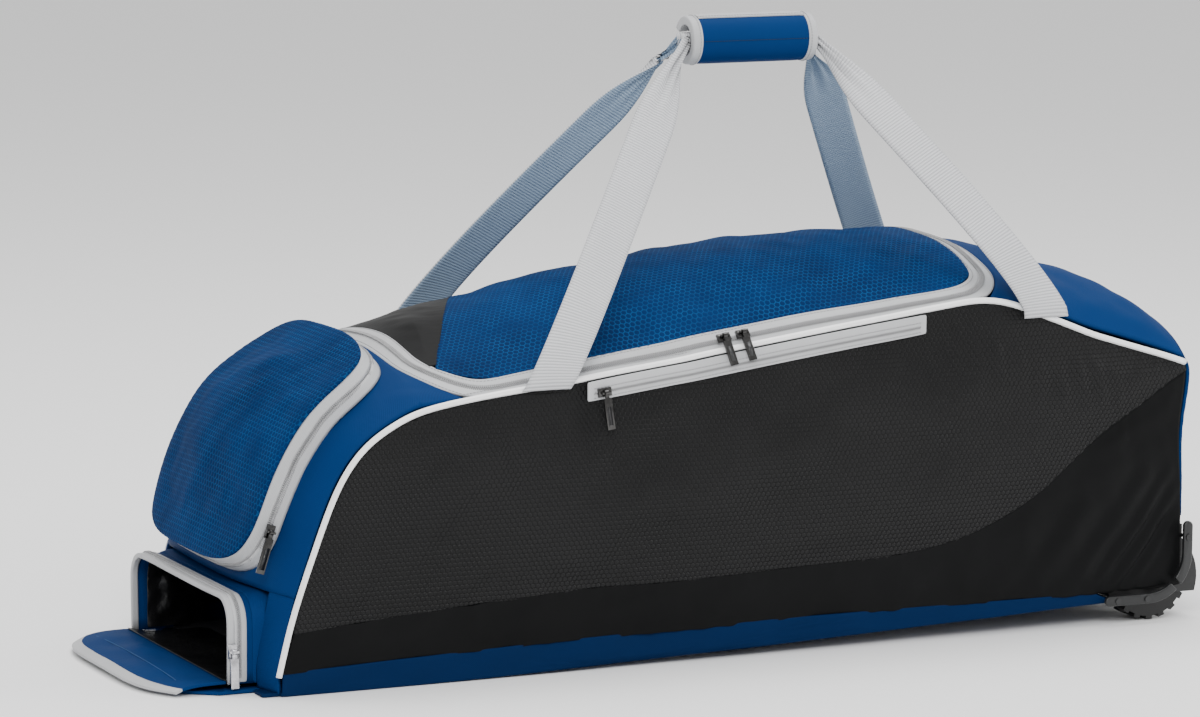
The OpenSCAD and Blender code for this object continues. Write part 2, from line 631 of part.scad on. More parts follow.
// Pull hanging down from a bridge at the origin, length l
module pull(l) {
    difference() {
        union() {
            translate([-1.7, 0, 0]) rotate([0, 90, 0]) cylinder(h = 3.4, r = 2.3, $fn = 32);
            translate([-1.7, -1, -6]) cube([3.4, 2, 5]);
            translate([-3.5, -1.1, -l]) cube([7, 2.2, l - 5.5]);
        }
        translate([-5, 0, 0]) rotate([0, 90, 0]) cylinder(h = 10, r = bridge_r + 0.1, $fn = 24);
    }
}
zip_tilt = -40;
slider_y = -152.2;
function seam_z(x) = lookup(x, edge_line);
module at_main(x) translate([x, slider_y, seam_z(x) + 14]) rotate([0, -atan(hinge_slope), 0])
    children();
module main_slider_left() place() color(gunmetal) at_main(5) rotate([zip_tilt, 0, 0]) slider();
module main_slider_right() place() color(gunmetal) at_main(23) rotate([zip_tilt, 0, 0]) slider();
// A main pull hangs from its slider's pin and leans out past the piping
pull_lean = -30;
module main_pull(x, l) at_main(x) rotate([zip_tilt, 0, 0]) translate([0, -pin_out, 0])
    rotate([pull_lean - zip_tilt, 0, 0]) pull(l);
module main_pull_left() place() color(gunmetal) main_pull(5, 28);
module main_pull_right() place() color(gunmetal) main_pull(23, 27);

side_slider_x = -112;
side_slider_y = pocket_tape_y - 3.5;
module side_pocket_slider() place() color(gunmetal)
    translate([side_slider_x, side_slider_y, seam_z(side_slider_x) - pocket_zip_drop])
        rotate([0, -atan(hinge_slope), 0]) slider();
module side_pocket_pull() place() color(gunmetal)
    translate([side_slider_x, side_slider_y - pin_out, seam_z(side_slider_x) - pocket_zip_drop])
        rotate([0, -atan(hinge_slope), 0]) rotate([-3, 0, 0]) pull(32);

// The end pocket's slider runs up the near wall of the pocket
pocket_slider = [-402, -door_half_w - 10.8, 135];
pocket_run = 18;
module end_pocket_slider() place() color(gunmetal)
    translate(pocket_slider) rotate([0, pocket_run, 0]) upright_slider();
module end_pocket_pull() place() color(gunmetal)
    translate(pocket_slider + [0, -pin_out, 0]) rotate([0, pocket_run, 0]) rotate([-2, 0, 0]) pull(36);

sleeve_slider_at = [hood_x + 3, -mouth_half_w - 6.6, 36];
module sleeve_slider() place() color(steel)
    translate(sleeve_slider_at) upright_slider();
module sleeve_pull() place() color(steel)
    translate(sleeve_slider_at + [0, -pin_out, 0]) rotate([-2, 0, 0]) pull(31);

base_panel();
base_board();
side_panel_near();
side_panel_far();
kick_panel_near();
kick_panel_far();
end_panel();
mouth_gusset_near();
mouth_gusset_far();
top_panel();
rear_panel();
boot_panel();
hinge_rim();
piping_near();
piping_far();
main_tape_body();
side_pocket_tape();
side_pocket_bag();
pocket_tape_body();
mouth_hood();
mouth_tape();
sleeve_lining();
divider_panel();
haul_handle();
anchor_patches();
wheel_housing_near();
wheel_housing_far();
skid_rail_near();
skid_rail_far();
axle_pins();
housing_screws();
lid_panel();
lid_end_panel();
lid_tape();
pocket_door();
pocket_tape_door();
bat_flap();
flap_tape();
near_strap();
grip_wrap();
grip_binding();
grip_hook_strip();
far_strap();
tyre_near();
hub_near();
tyre_far();
hub_far();
main_slider_left();
main_slider_right();
side_pocket_slider();
end_pocket_slider();
sleeve_slider();
main_pull_left();
main_pull_right();
side_pocket_pull();
end_pocket_pull();
sleeve_pull();
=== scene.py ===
"""Looks of a wheeled equipment bag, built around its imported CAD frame. Lengths are in metres."""
import json
import math

import bmesh
import bpy
import numpy as np
from mathutils import Matrix, Vector
from mathutils.bvhtree import BVHTree
from mathutils.kdtree import KDTree


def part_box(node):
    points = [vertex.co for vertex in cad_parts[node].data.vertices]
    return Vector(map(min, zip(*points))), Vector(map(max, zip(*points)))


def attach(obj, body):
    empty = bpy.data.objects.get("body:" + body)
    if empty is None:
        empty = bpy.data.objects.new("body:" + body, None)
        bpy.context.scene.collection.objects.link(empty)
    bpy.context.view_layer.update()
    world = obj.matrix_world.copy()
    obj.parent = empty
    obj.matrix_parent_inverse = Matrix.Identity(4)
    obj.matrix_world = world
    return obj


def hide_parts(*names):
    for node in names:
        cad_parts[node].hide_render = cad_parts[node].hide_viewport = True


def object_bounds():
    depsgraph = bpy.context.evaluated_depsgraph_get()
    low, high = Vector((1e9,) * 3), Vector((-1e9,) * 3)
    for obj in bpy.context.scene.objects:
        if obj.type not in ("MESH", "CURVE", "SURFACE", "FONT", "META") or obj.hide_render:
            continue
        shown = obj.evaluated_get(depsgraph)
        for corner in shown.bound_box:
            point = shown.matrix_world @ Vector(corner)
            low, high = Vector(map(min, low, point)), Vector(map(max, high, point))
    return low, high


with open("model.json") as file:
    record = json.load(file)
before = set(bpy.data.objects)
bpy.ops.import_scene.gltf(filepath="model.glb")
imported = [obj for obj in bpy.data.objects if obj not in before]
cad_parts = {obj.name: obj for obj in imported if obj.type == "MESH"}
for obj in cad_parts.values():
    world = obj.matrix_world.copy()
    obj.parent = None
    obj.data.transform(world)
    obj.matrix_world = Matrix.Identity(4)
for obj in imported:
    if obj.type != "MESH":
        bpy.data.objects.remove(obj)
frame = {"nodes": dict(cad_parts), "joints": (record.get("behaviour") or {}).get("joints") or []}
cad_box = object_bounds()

MM = 0.001
nodes = frame["nodes"]
joints = {joint["name"]: joint for joint in frame["joints"]}


# ---- camera, stage and light ----

def make_camera():
    """The photograph's viewing angle: a long lens a little above the bag, from its mouth end."""
    azimuth, elevation, roll = (math.radians(angle) for angle in (-24.5, 8.6, 0.35))
    distance, lens = 5.03, 162.66
    past_middle, target_y, target_z = 0.069, 0.214, 0.209
    target = Vector(((cad_box[0].x + cad_box[1].x) / 2 + past_middle, target_y, target_z))
    level = math.cos(elevation)
    back = Vector((math.sin(azimuth) * level, -math.cos(azimuth) * level, math.sin(elevation)))
    data = bpy.data.cameras.new("camera")
    data.lens, data.sensor_width, data.clip_start, data.clip_end = lens, 36, 0.1, 60
    camera = add_object("camera", data)
    camera.rotation_mode = "QUATERNION"
    turned = (-back).to_track_quat("-Z", "Y").to_matrix() @ Matrix.Rotation(roll, 3, "Z")
    camera.rotation_quaternion = turned.to_quaternion()
    camera.location = target + back * distance
    bpy.context.scene.camera = camera


def make_stage():
    bpy.ops.mesh.primitive_plane_add(size=30, location=(0, 0, cad_box[0].z - 0.0005))
    floor = bpy.context.object
    floor.name = "stage_floor"
    floor.data.materials.append(Graph("stage_white", (0.93, 0.93, 0.93), 0.7).mat)
    world = bpy.data.worlds.new("world")
    bpy.context.scene.world = world
    world.use_nodes = True
    fill(world.node_tree.nodes["Background"], Color=(1, 1, 1, 1), Strength=0.9)
    for name, place, aim, size, watts in (
            ("key", (-1.6, -3.2, 2.6), (0, 0, 0.15), (2.2, 1.6), 120),
            ("top", (0.4, 0.4, 3.0), (0, 0, 0.2), (2.6, 1.6), 80),
            ("right", (3.0, -1.6, 1.2), (0.1, 0, 0.15), (1.0, 1.8), 40)):
        light = bpy.data.lights.new(name, "AREA")
        light.shape, light.size, light.size_y, light.energy = "RECTANGLE", *size, watts
        lamp = add_object(name, light)
        lamp.location = place
        lamp.rotation_euler = (Vector(aim) - Vector(place)).to_track_quat("-Z", "Y").to_euler()


# ---- materials ----

def fill(node, **values):
    """Sets input sockets. An underscore stands for a space in a socket's name."""
    for key, value in values.items():
        node.inputs[key.replace("_", " ")].default_value = value


class Graph:
    """One material, and short names for building its nodes."""

    def __init__(self, name, color, roughness, metallic=0.0, specular=0.5):
        self.mat = bpy.data.materials.new(name)
        self.mat.use_nodes = True
        self.tree = self.mat.node_tree
        self.bsdf = self.tree.nodes["Principled BSDF"]
        fill(self.bsdf, Base_Color=(*color, 1), Roughness=roughness, Metallic=metallic,
             Specular_IOR_Level=specular)

    def finish(self, color, normal, roughness=None):
        """Links the results to the shader and hands back the material."""
        for socket, source in (("Base Color", color), ("Normal", normal), ("Roughness", roughness)):
            if source is not None:
                self.link(source, self.bsdf.inputs[socket])
        return self.mat

    def node(self, kind, **settings):
        made = self.tree.nodes.new(kind)
        for key, value in settings.items():
            setattr(made, key, value)
        return made

    def link(self, source, target):
        self.tree.links.new(source, target)

    def feed(self, made, values):
        """Gives a node's inputs numbers, vectors or links, in order."""
        for socket, value in zip(made.inputs, values):
            if isinstance(value, bpy.types.NodeSocket):
                self.link(value, socket)
            else:
                socket.default_value = value
        return made

    def math(self, operation, *values, clamp=False):
        made = self.node("ShaderNodeMath", operation=operation, use_clamp=clamp)
        return self.feed(made, values).outputs[0]

    def vector(self, operation, *values):
        made = self.feed(self.node("ShaderNodeVectorMath", operation=operation), values)
        return made.outputs["Value" if operation == "DOT_PRODUCT" else "Vector"]

    def place(self):
        """The row frame's own coordinates, which stay with the piece."""
        return self.node("ShaderNodeTexCoord").outputs["Object"]

    def on_plane(self, u_axis, v_axis):
        """Coordinates in metres along two axes."""
        place = self.place()
        both = [self.vector("DOT_PRODUCT", place, Vector(axis).normalized()) for axis in (u_axis, v_axis)]
        return self.feed(self.node("ShaderNodeCombineXYZ"), both).outputs[0]

    def uv(self):
        return self.node("ShaderNodeUVMap", uv_map="strip").outputs[0]

    def noise(self, scale, detail, roughness=0.5):
        made = self.node("ShaderNodeTexNoise")
        fill(made, Scale=scale, Detail=detail, Roughness=roughness)
        self.link(self.place(), made.inputs["Vector"])
        return made.outputs["Fac"]

    def stretch(self, low, high, value, to_low=0.0, to_high=1.0):
        made = self.node("ShaderNodeMapRange", clamp=True)
        fill(made, From_Min=low, From_Max=high, To_Min=to_low, To_Max=to_high)
        self.link(value, made.inputs["Value"])
        return made.outputs[0]

    def mix(self, amount, a, b):
        made = self.node("ShaderNodeMix", data_type="RGBA")
        self.link(amount, made.inputs["Factor"])
        for socket, value in zip([s for s in made.inputs if s.type == "RGBA"], (a, b)):
            if isinstance(value, tuple):
                socket.default_value = (*value, 1)
            else:
                self.link(value, socket)
        return next(s for s in made.outputs if s.type == "RGBA")

    def hexagons(self, coords, pitch):
        """Height over a sheet of hexagons: 0 on their outlines, about 0.5 at their middles."""
        scaled = self.vector("SCALE", coords)
        fill(scaled.node, Scale=1 / pitch)
        half = Vector((0.5, math.sqrt(3) / 2, 0.5))
        near = []
        for shift in (Vector(), half):
            wrapped = self.vector("WRAP", self.vector("SUBTRACT", scaled, shift), half, -half)
            away = self.vector("ABSOLUTE", self.vector("MULTIPLY", wrapped, (1, 1, 0)))
            slant = self.vector("DOT_PRODUCT", away, (0.5, math.sqrt(3) / 2, 0))
            near.append(self.math("MAXIMUM", slant, self.vector("DOT_PRODUCT", away, (1, 0, 0))))
        return self.math("SUBTRACT", 0.5, self.math("MINIMUM", *near), clamp=True)

    def wave(self, coords, pitch, axis):
        parts = self.feed(self.node("ShaderNodeSeparateXYZ"), (coords,))
        return self.math("SINE", self.math("MULTIPLY", parts.outputs[axis], 2 * math.pi / pitch))

    def weave(self, coords, thread):
        """Plain weave: threads that pass over and under, 0 to 1."""
        both = self.math("MULTIPLY", *(self.wave(coords, 2 * thread, axis) for axis in (0, 1)))
        return self.math("MULTIPLY_ADD", both, 0.5, 0.5)

    def ribs(self, coords, pitch, axis=0):
        return self.math("MULTIPLY_ADD", self.wave(coords, pitch, axis), 0.5, 0.5)

    def bump(self, height, depth, strength=1.0, under=None):
        made = self.node("ShaderNodeBump")
        fill(made, Strength=strength, Distance=depth)
        self.link(height, made.inputs["Height"])
        if under is not None:
            self.link(under, made.inputs["Normal"])
        return made.outputs[0]


def woven(name, axes, color, light, roughness):
    """Plain woven polyester with slightly uneven threads."""
    g = Graph(name, color, roughness, specular=0.06)
    weave = g.weave(g.on_plane(*axes), 0.9 * MM)
    patches = g.noise(9, 4)
    tone = g.math("MULTIPLY_ADD", weave, 0.35, g.math("MULTIPLY", patches, 0.5))
    tone = g.math("MULTIPLY_ADD", g.noise(900, 2), 0.25, tone)
    soft = g.bump(g.noise(60, 3), 0.0006, 0.35)
    return g.finish(g.mix(g.stretch(0.15, 0.85, tone), color, light),
                    g.bump(weave, 0.00012, 0.8, soft),
                    g.stretch(0.2, 0.8, patches, roughness - 0.06, roughness + 0.06))


def dobby(name, axes):
    """Blue cloth with paler hexagon outlines woven in."""
    deep, blue, pale = (0.0001, 0.0115, 0.054), (0.0002, 0.0210, 0.090), (0.002, 0.070, 0.210)
    g = Graph(name, blue, 0.7, specular=0.05)
    coords = g.on_plane(*axes)
    hexes = g.hexagons(coords, 5.0 * MM)
    line = g.stretch(0.035, 0.10, hexes, 1.0, 0.0)
    broken = g.math("MULTIPLY", line, g.stretch(0.3, 0.7, g.noise(45, 3), 0.25, 0.8))
    ground = g.mix(g.stretch(0.3, 0.7, g.noise(12, 4)), deep, blue)
    soft = g.bump(g.noise(70, 4), 0.0009, 0.5)
    cells = g.bump(g.stretch(0.0, 0.3, hexes), 0.00035, 0.6, soft)
    return g.finish(g.mix(broken, ground, pale), g.bump(g.weave(coords, 0.8 * MM), 0.0001, 0.6, cells))


def embossed(name, axes):
    """Black coated cloth pressed with raised hexagons; the grooves between them are darkened with painted
    shade.
    """
    black, worn_black = (0.0040, 0.0041, 0.0043), (0.011, 0.011, 0.0115)
    # near-black painted into the hexagons' grooves as shade
    painted_groove_shade = (0.0004, 0.0004, 0.0005)
    g = Graph(name, black, 0.42, specular=0.15)
    hexes = g.hexagons(g.on_plane(*axes), 4.5 * MM)
    # mask of the grooves, where painted shade darkens the colour
    groove = g.stretch(0.05, 0.14, hexes, 1.0, 0.0)
    worn = g.stretch(0.3, 0.75, g.noise(5, 4))
    soft = g.bump(g.noise(45, 3), 0.0006, 0.4)
    return g.finish(g.mix(g.math("MULTIPLY", groove, 0.95), g.mix(worn, black, worn_black), painted_groove_shade),
                    g.bump(g.stretch(0.02, 0.2, hexes), 0.0005, 0.9, soft),
                    g.stretch(0.0, 1.0, worn, 0.38, 0.48))


def coated(name, color=(0.0032, 0.0033, 0.0035), roughness=0.42):
    """Plain black cloth with a smooth coating and a fine grain."""
    g = Graph(name, color, roughness, specular=0.07)
    grain, cloud = g.noise(1500, 2), g.noise(7, 4)
    tone = g.math("MULTIPLY_ADD", grain, 0.3, g.stretch(0.35, 0.7, cloud, 0.0, 0.6))
    return g.finish(g.mix(tone, color, tuple(c * 1.7 for c in color)),
                    g.bump(grain, 0.00008, 0.5, g.bump(g.noise(40, 4), 0.0009, 0.4)),
                    g.stretch(0.3, 0.7, cloud, roughness - 0.05, roughness + 0.07))


def tape(name, color=(0.47, 0.475, 0.485), pitch=1.1 * MM):
    """Silver grey zip tape: a fine ribbed weave."""
    g = Graph(name, color, 0.5, specular=0.3)
    lines = g.weave(g.on_plane(ALONG, (0, 0.7, 0.7)), pitch)
    tone = g.math("MULTIPLY_ADD", lines, 0.25, g.math("MULTIPLY", g.noise(14, 4), 0.8))
    return g.finish(g.mix(g.stretch(0.2, 0.8, tone), tuple(c * 0.80 for c in color), color),
                    g.bump(lines, 0.00012, 0.6, g.bump(g.noise(120, 3), 0.0004, 0.3)))


def webbing(name, color, dark):
    """Cross-ribbed polyester webbing; the strip's own coordinates run along it."""
    g = Graph(name, color, 0.5, specular=0.3)
    coords = g.uv()
    rib, yarn = g.ribs(coords, 2.7 * MM), g.ribs(coords, 1.5 * MM, 1)
    tone = g.math("MULTIPLY_ADD", g.math("POWER", rib, 0.6), 0.75, g.math("MULTIPLY", g.noise(16, 4), 0.3))
    return g.finish(g.mix(g.stretch(0.1, 0.8, tone), dark, color),
                    g.bump(yarn, 0.00015, 0.5, g.bump(rib, 0.0005, 0.7)))


def moulded(name, color, roughness, wear=0.5, grain=400, depth=0.00015):
    """Moulded plastic or rubber with a fine grain and paler scuffs."""
    g = Graph(name, color, roughness, specular=0.45)
    scuff = g.stretch(0.52, 0.72, g.noise(55, 6, 0.65))
    pale = tuple(min(1, c * (1 + wear) + 0.003) for c in color)
    return g.finish(g.mix(scuff, color, pale), g.bump(g.noise(grain, 3), depth, 0.5),
                    g.stretch(0, 1, scuff, roughness - 0.06, roughness + 0.15))


def metal(name, color, roughness):
    """Plated metal with faint rub marks."""
    g = Graph(name, color, roughness, metallic=1.0)
    rub = g.noise(320, 4, 0.6)
    bright = tuple(min(1, c * 1.5) for c in color)
    return g.finish(g.mix(g.stretch(0.4, 0.8, rub), color, bright), g.bump(rub, 0.00002, 0.2),
                    g.stretch(0.3, 0.7, rub, roughness - 0.06, roughness + 0.12))


def lining(name):
    """Thin black nylon, glossy and crumpled; its colour is darker in the crumples' hollows, as painted
    shade.
    """
    g = Graph(name, (0.006, 0.006, 0.0065), 0.28)
    crumple = g.noise(38, 5, 0.6)
    fine = g.bump(g.weave(g.on_plane(ALONG, (0, 1, 1)), 0.9 * MM), 0.00008, 0.4)
    # painted shade: darker where the crumple bump is low, paler where it is high
    return g.finish(g.mix(g.stretch(0.3, 0.7, crumple), (0.003, 0.003, 0.0035), (0.012, 0.012, 0.013)),
                    g.bump(crumple, 0.004, 0.8, fine))


ALONG, ACROSS, UP = (1, 0, 0), (0, 1, 0), (0, 0, 1)
SLOPE = (0.59, 0, 0.81)
BLUE, BLUE_LIGHT = (0.0001, 0.0175, 0.080), (0.0004, 0.0290, 0.120)
# The bag's blue darkened as painted shade for the base, where the rounded bottom turns away from the
# light.
BLUE_SHADED, BLUE_SHADED_PALE = (0.0004, 0.0090, 0.040), (0.0010, 0.0140, 0.058)


def make_materials():
    side, top, end, back = (ALONG, UP), (ALONG, ACROSS), (ACROSS, SLOPE), (ACROSS, UP)
    rows = (
        (woven, "blue_end", end, BLUE, BLUE_LIGHT, 0.6),
        (woven, "blue_top", top, BLUE, BLUE_LIGHT, 0.6),
        (woven, "blue_back", back, BLUE, BLUE_LIGHT, 0.6),
        (woven, "blue_side", side, BLUE, BLUE_LIGHT, 0.6),
        # the base's blue with painted shade
        (woven, "navy_side", side, BLUE_SHADED, BLUE_SHADED_PALE, 0.65),
        (dobby, "dobby_top", top),
        (dobby, "dobby_end", end),
        (embossed, "embossed", side),
        (coated, "coated"),
        (coated, "pad", (0.03, 0.03, 0.033), 0.7),
        (coated, "hook", (0.01, 0.01, 0.011), 0.8),
        (tape, "tape"),
        (tape, "binding", (0.46, 0.465, 0.475), 0.8 * MM),
        (moulded, "coil", (0.27, 0.27, 0.275), 0.35, 0.15),
        (moulded, "thread", (0.26, 0.26, 0.27), 0.6, 0.1),
        (moulded, "thread_pale", (0.012, 0.075, 0.20), 0.6, 0.1),
        (moulded, "thread_blue", (0.0004, 0.004, 0.016), 0.7, 0.1),
        (moulded, "piping", (0.88, 0.88, 0.88), 0.32, 0.0),
        (webbing, "webbing", (0.56, 0.565, 0.58), (0.33, 0.335, 0.35)),
        # A darker copy of the webbing, tinted blue: painted shade for the legs' faces turned towards the
        # bag.
        (webbing, "webbing_inside", (0.27, 0.36, 0.47), (0.15, 0.21, 0.30)),
        (lining, "lining"),
        (moulded, "board", (0.05, 0.05, 0.055), 0.5),
        (moulded, "rubber", (0.005, 0.005, 0.0053), 0.6, 0.8, 260, 0.0003),
        (moulded, "wheel_plastic", (0.008, 0.008, 0.0085), 0.42),
        (moulded, "rail", (0.010, 0.0105, 0.011), 0.36, 0.9),
        (moulded, "inlay", (0.012, 0.012, 0.013), 0.35),
        (metal, "steel", (0.50, 0.50, 0.52), 0.3),
        (metal, "gunmetal", (0.060, 0.059, 0.058), 0.16),
        (metal, "zinc", (0.50, 0.50, 0.52), 0.2),
    )
    return {name: make(name, *values) for make, name, *values in rows}


# ---- shared geometry ----

def smoothstep(low, high, x):
    t = np.clip((x - low) / (high - low), 0, 1)
    return t * t * (3 - 2 * t)


def unit(rows):
    """Rows of vectors scaled to length one."""
    return rows / np.maximum(np.linalg.norm(rows, axis=1), 1e-9)[:, None]


def facing(*direction):
    """A function that gives every point the same direction."""
    def same(co):
        return np.tile(np.array(direction, float), (len(co), 1))
    return same


def add_object(name, data):
    made = bpy.data.objects.new(name, data)
    bpy.context.scene.collection.objects.link(made)
    return made


def mesh_piece(name, verts, faces):
    mesh = bpy.data.meshes.new(name)
    mesh.from_pydata(verts, [], faces)
    mesh.update()
    return add_object(name, mesh)


def piece_of(bm, name):
    """An object made from a bmesh, which is freed."""
    mesh = bpy.data.meshes.new(name)
    bm.to_mesh(mesh)
    bm.free()
    return add_object(name, mesh)


def face_outwards(mesh):
    bm = bmesh.new()
    bm.from_mesh(mesh)
    bmesh.ops.recalc_face_normals(bm, faces=bm.faces)
    bm.to_mesh(mesh)
    bm.free()


def modify(piece, kind, **settings):
    made = piece.modifiers.new(kind, kind)
    for key, value in settings.items():
        setattr(made, key, value)


def finish_piece(piece, body, mat, *replaced):
    """Gives a piece its material, its body and the CAD nodes it stands for."""
    piece.data.materials.clear()
    piece.data.materials.append(mats[mat])
    piece.data.shade_smooth()
    if replaced:
        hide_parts(*replaced)
    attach(piece, body)
    return piece


def bake(piece):
    """Applies the piece's modifiers to its mesh."""
    view = bpy.context.evaluated_depsgraph_get()
    mesh = bpy.data.meshes.new_from_object(piece.evaluated_get(view))
    piece.modifiers.clear()
    old, piece.data = piece.data, mesh
    bpy.data.meshes.remove(old)


def points_of(mesh):
    co = np.empty(len(mesh.vertices) * 3)
    mesh.vertices.foreach_get("co", co)
    return co.reshape(-1, 3)


def put_points(mesh, co):
    mesh.vertices.foreach_set("co", co.ravel())
    mesh.update()


WELD = 0.02 * MM
CUT_EDGE_WIDTH = 3.4 * MM


def cage_of(node):
    """A CAD node's faces, welded and with its triangle pairs made into quads."""
    bm = bmesh.new()
    bm.from_mesh(nodes[node].data)
    bmesh.ops.remove_doubles(bm, verts=bm.verts, dist=WELD)
    bmesh.ops.join_triangles(bm, faces=bm.faces, angle_face_threshold=0.7,
                             angle_shape_threshold=1.4)
    bmesh.ops.recalc_face_normals(bm, faces=bm.faces)
    return bm


def widen(bm, sharp, grow):
    """Lets a sheet's cut edges reach a little into its seams, so that no gap shows."""
    moves = {}
    for face in bm.faces:
        if len(face.edges) != 4:
            continue
        hard = [e for e in face.edges if len(e.link_faces) == 2
                and e.calc_face_angle(0) > math.radians(sharp)]
        for a in hard:
            for b in hard:
                apart = not set(a.verts) & set(b.verts)
                if apart and (mid_of(a) - mid_of(b)).length < CUT_EDGE_WIDTH:
                    for vert in face.verts:
                        moves.setdefault(vert, []).append(face.normal.copy())
    for vert, normals in moves.items():
        vert.co += sum(normals, Vector()) / len(normals) * grow


def mid_of(edge):
    return (edge.verts[0].co + edge.verts[1].co) / 2


def soft_copy(node, name, levels=2, sharp=50, crease=1.0, grow=0.7 * MM):
    """A smooth copy of a soft CAD node, and how far each of its points is from the node's rim."""
    bm = cage_of(node)
    bm.normal_update()
    widen(bm, sharp, grow)
    layer = bm.edges.layers.float.new("crease_edge")
    rim = []
    for edge in bm.edges:
        if len(edge.link_faces) != 2 or edge.calc_face_angle(0) > math.radians(sharp):
            edge[layer] = crease
            a, b = (v.co.copy() for v in edge.verts)
            rim += [a, (a + b) / 2, b]
    piece = piece_of(bm, name)
    modify(piece, "SUBSURF", levels=levels, render_levels=levels)
    bake(piece)
    tree = KDTree(max(1, len(rim)))
    for i, point in enumerate(rim):
        tree.insert(point, i)
    tree.balance()
    far = np.array([tree.find(v.co)[2] for v in piece.data.vertices]) if rim else None
    return piece, far


def waves(co, length, seed, count=9):
    """Smooth seeded unevenness from -1 to 1, with bumps about length apart."""
    rng = np.random.default_rng(seed)
    total = np.zeros(len(co))
    for _ in range(count):
        axis = rng.normal(size=3)
        axis *= 2 * np.pi / (length * rng.uniform(0.7, 1.5) * np.linalg.norm(axis))
        total += np.sin(co @ axis + rng.uniform(0, 2 * np.pi))
    return np.clip(total / (0.75 * count ** 0.5 * 1.6), -1, 1)


def fold(co, start, end, width, height, side=0.0):
    """A soft ridge along a line, fading at both ends; side shifts a shadowed hollow beside it."""
    a, b = np.array(start), np.array(end)
    along = b - a
    t = np.clip((co - a) @ along / (along @ along), -0.2, 1.2)
    gap = co - (a + np.outer(t, along))
    away = np.linalg.norm(gap, axis=1)
    fade = np.sin(np.pi * np.clip(t, 0, 1)) ** 0.6
    ridge = np.exp(-(away / width) ** 2)
    hollow = np.exp(-((away - 1.6 * width) / width) ** 2)
    return height * fade * (ridge - side * hollow)


CORE_HEIGHT, CORE_FROM_FRONT, CORE_FROM_BACK = 0.14, 0.12, 0.10


def outward(co):
    """Unit directions out of the bag's long core."""
    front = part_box("side_panel_near")[0].x + CORE_FROM_FRONT
    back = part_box("rear_panel")[0].x - CORE_FROM_BACK
    core = np.zeros_like(co)
    core[:, 0], core[:, 2] = np.clip(co[:, 0], front, back), CORE_HEIGHT
    return unit(co - core)


HARD_SPOTS, STILL_RADIUS, CALM_REACH = [], 0.02, 0.05
STRAP_WIDTH = 0.038


def note_hard_spots():
    """Places where the cloth keeps still: sliders and strap feet."""
    for zip_name in ("main_slider_left", "main_slider_right", "side_pocket_slider",
                     "end_pocket_slider", "sleeve_slider"):
        low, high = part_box(zip_name)
        HARD_SPOTS.append((np.array((low + high) / 2), (high - low).length / 2))
    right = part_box("near_strap")[1].x - STRAP_WIDTH / 2
    for side in ("near", "far"):
        swing = joints[f"{side}_handle_swing"]
        foot, axis = np.array(swing["pos_m"]), np.array(swing["axis"])
        for along in (0, (right - foot[0]) / axis[0]):
            HARD_SPOTS.append((foot + axis * along, STILL_RADIUS))


def calm(co):
    """0 at a hard spot, rising to 1 away from it."""
    least = np.ones(len(co))
    for centre, radius in HARD_SPOTS:
        away = np.linalg.norm(co - centre, axis=1)
        least = np.minimum(least, smoothstep(radius, radius + CALM_REACH, away))
    return least


def settle(co):
    """The whole shell's slow unevenness, the same for every piece so that seams stay together."""
    size = 0.0020 * waves(co, 0.21, 11) + 0.0007 * waves(co, 0.09, 12)
    for turn in (1, -1):
        side = co * np.array([1, turn, 1])
        size += (side_folds(side) + kick_folds(side)) * smoothstep(0.125, 0.147, -side[:, 1])
    moved = outward(co) * (size * calm(co))[:, None]
    waist_height, waist_reach, waist_depth = 0.175, 0.045, 0.0075
    waist = np.exp(-((co[:, 2] - waist_height) / waist_reach) ** 2)
    moved[:, 0] -= waist_depth * smoothstep(0.40, 0.485, co[:, 0]) * waist
    return moved


def rippled(node, name, body, mat, height, length, seed, puff, folds=None, edge=0.03, levels=2,
            grow=0.7 * MM):
    """A shell piece with the slow unevenness, its own ripples away from its rim, and any folds."""
    piece, far = soft_copy(node, name, levels, grow=grow)
    co = points_of(piece.data)
    inside = smoothstep(0.0, edge, far)
    fine = 0.35 * height * waves(co, length / 2.6, seed + 1)
    size = inside * (puff + height * waves(co, length, seed) + fine)
    if folds is not None:
        size = size + folds(co) * (0.25 + 0.75 * inside)
    put_points(piece.data, co + settle(co) + outward(co) * (size * calm(co))[:, None])
    return finish_piece(piece, body, mat, node)


def settled(node, name, body, mat, levels=2, sharp=50, crease=1.0):
    """A trim piece that only follows the shell's unevenness."""
    piece, _ = soft_copy(node, name, levels, sharp, crease)
    co = points_of(piece.data)
    put_points(piece.data, co + settle(co))
    return finish_piece(piece, body, mat, node)


# ---- shell ----

def side_folds(co):
    """Puckers below the top seam and under the strap's foot, and a broad hollow at the wheel end."""
    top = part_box("side_panel_near")[1].z
    foot = np.array(joints["near_handle_swing"]["pos_m"])
    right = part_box("near_strap")[1].x
    total = np.zeros(len(co))
    for i in range(9):
        x, z = right - 0.115 + 0.021 * i, top - 0.012 - 0.0010 * i * i
        total += fold(co, (x, -0.16, z), (x + 0.012, -0.162, z - 0.05 - 0.006 * (i % 3)), 0.0045,
                      0.0016 - 0.0003 * (i % 2), 0.5)
    for i in range(5):
        x = foot[0] - 0.05 + 0.024 * i
        total += fold(co, (x, -0.16, foot[2] - 0.02), (x + 0.01, -0.162, foot[2] - 0.07), 0.007,
                      0.0009, 0.4)
    total += fold(co, (right + 0.04, -0.16, top - 0.035), (right - 0.12, -0.16, top - 0.16), 0.020,
                  -0.0022)
    total += fold(co, (foot[0] + 0.16, -0.16, 0.20), (foot[0] + 0.36, -0.16, 0.13), 0.030, 0.0020)
    return total


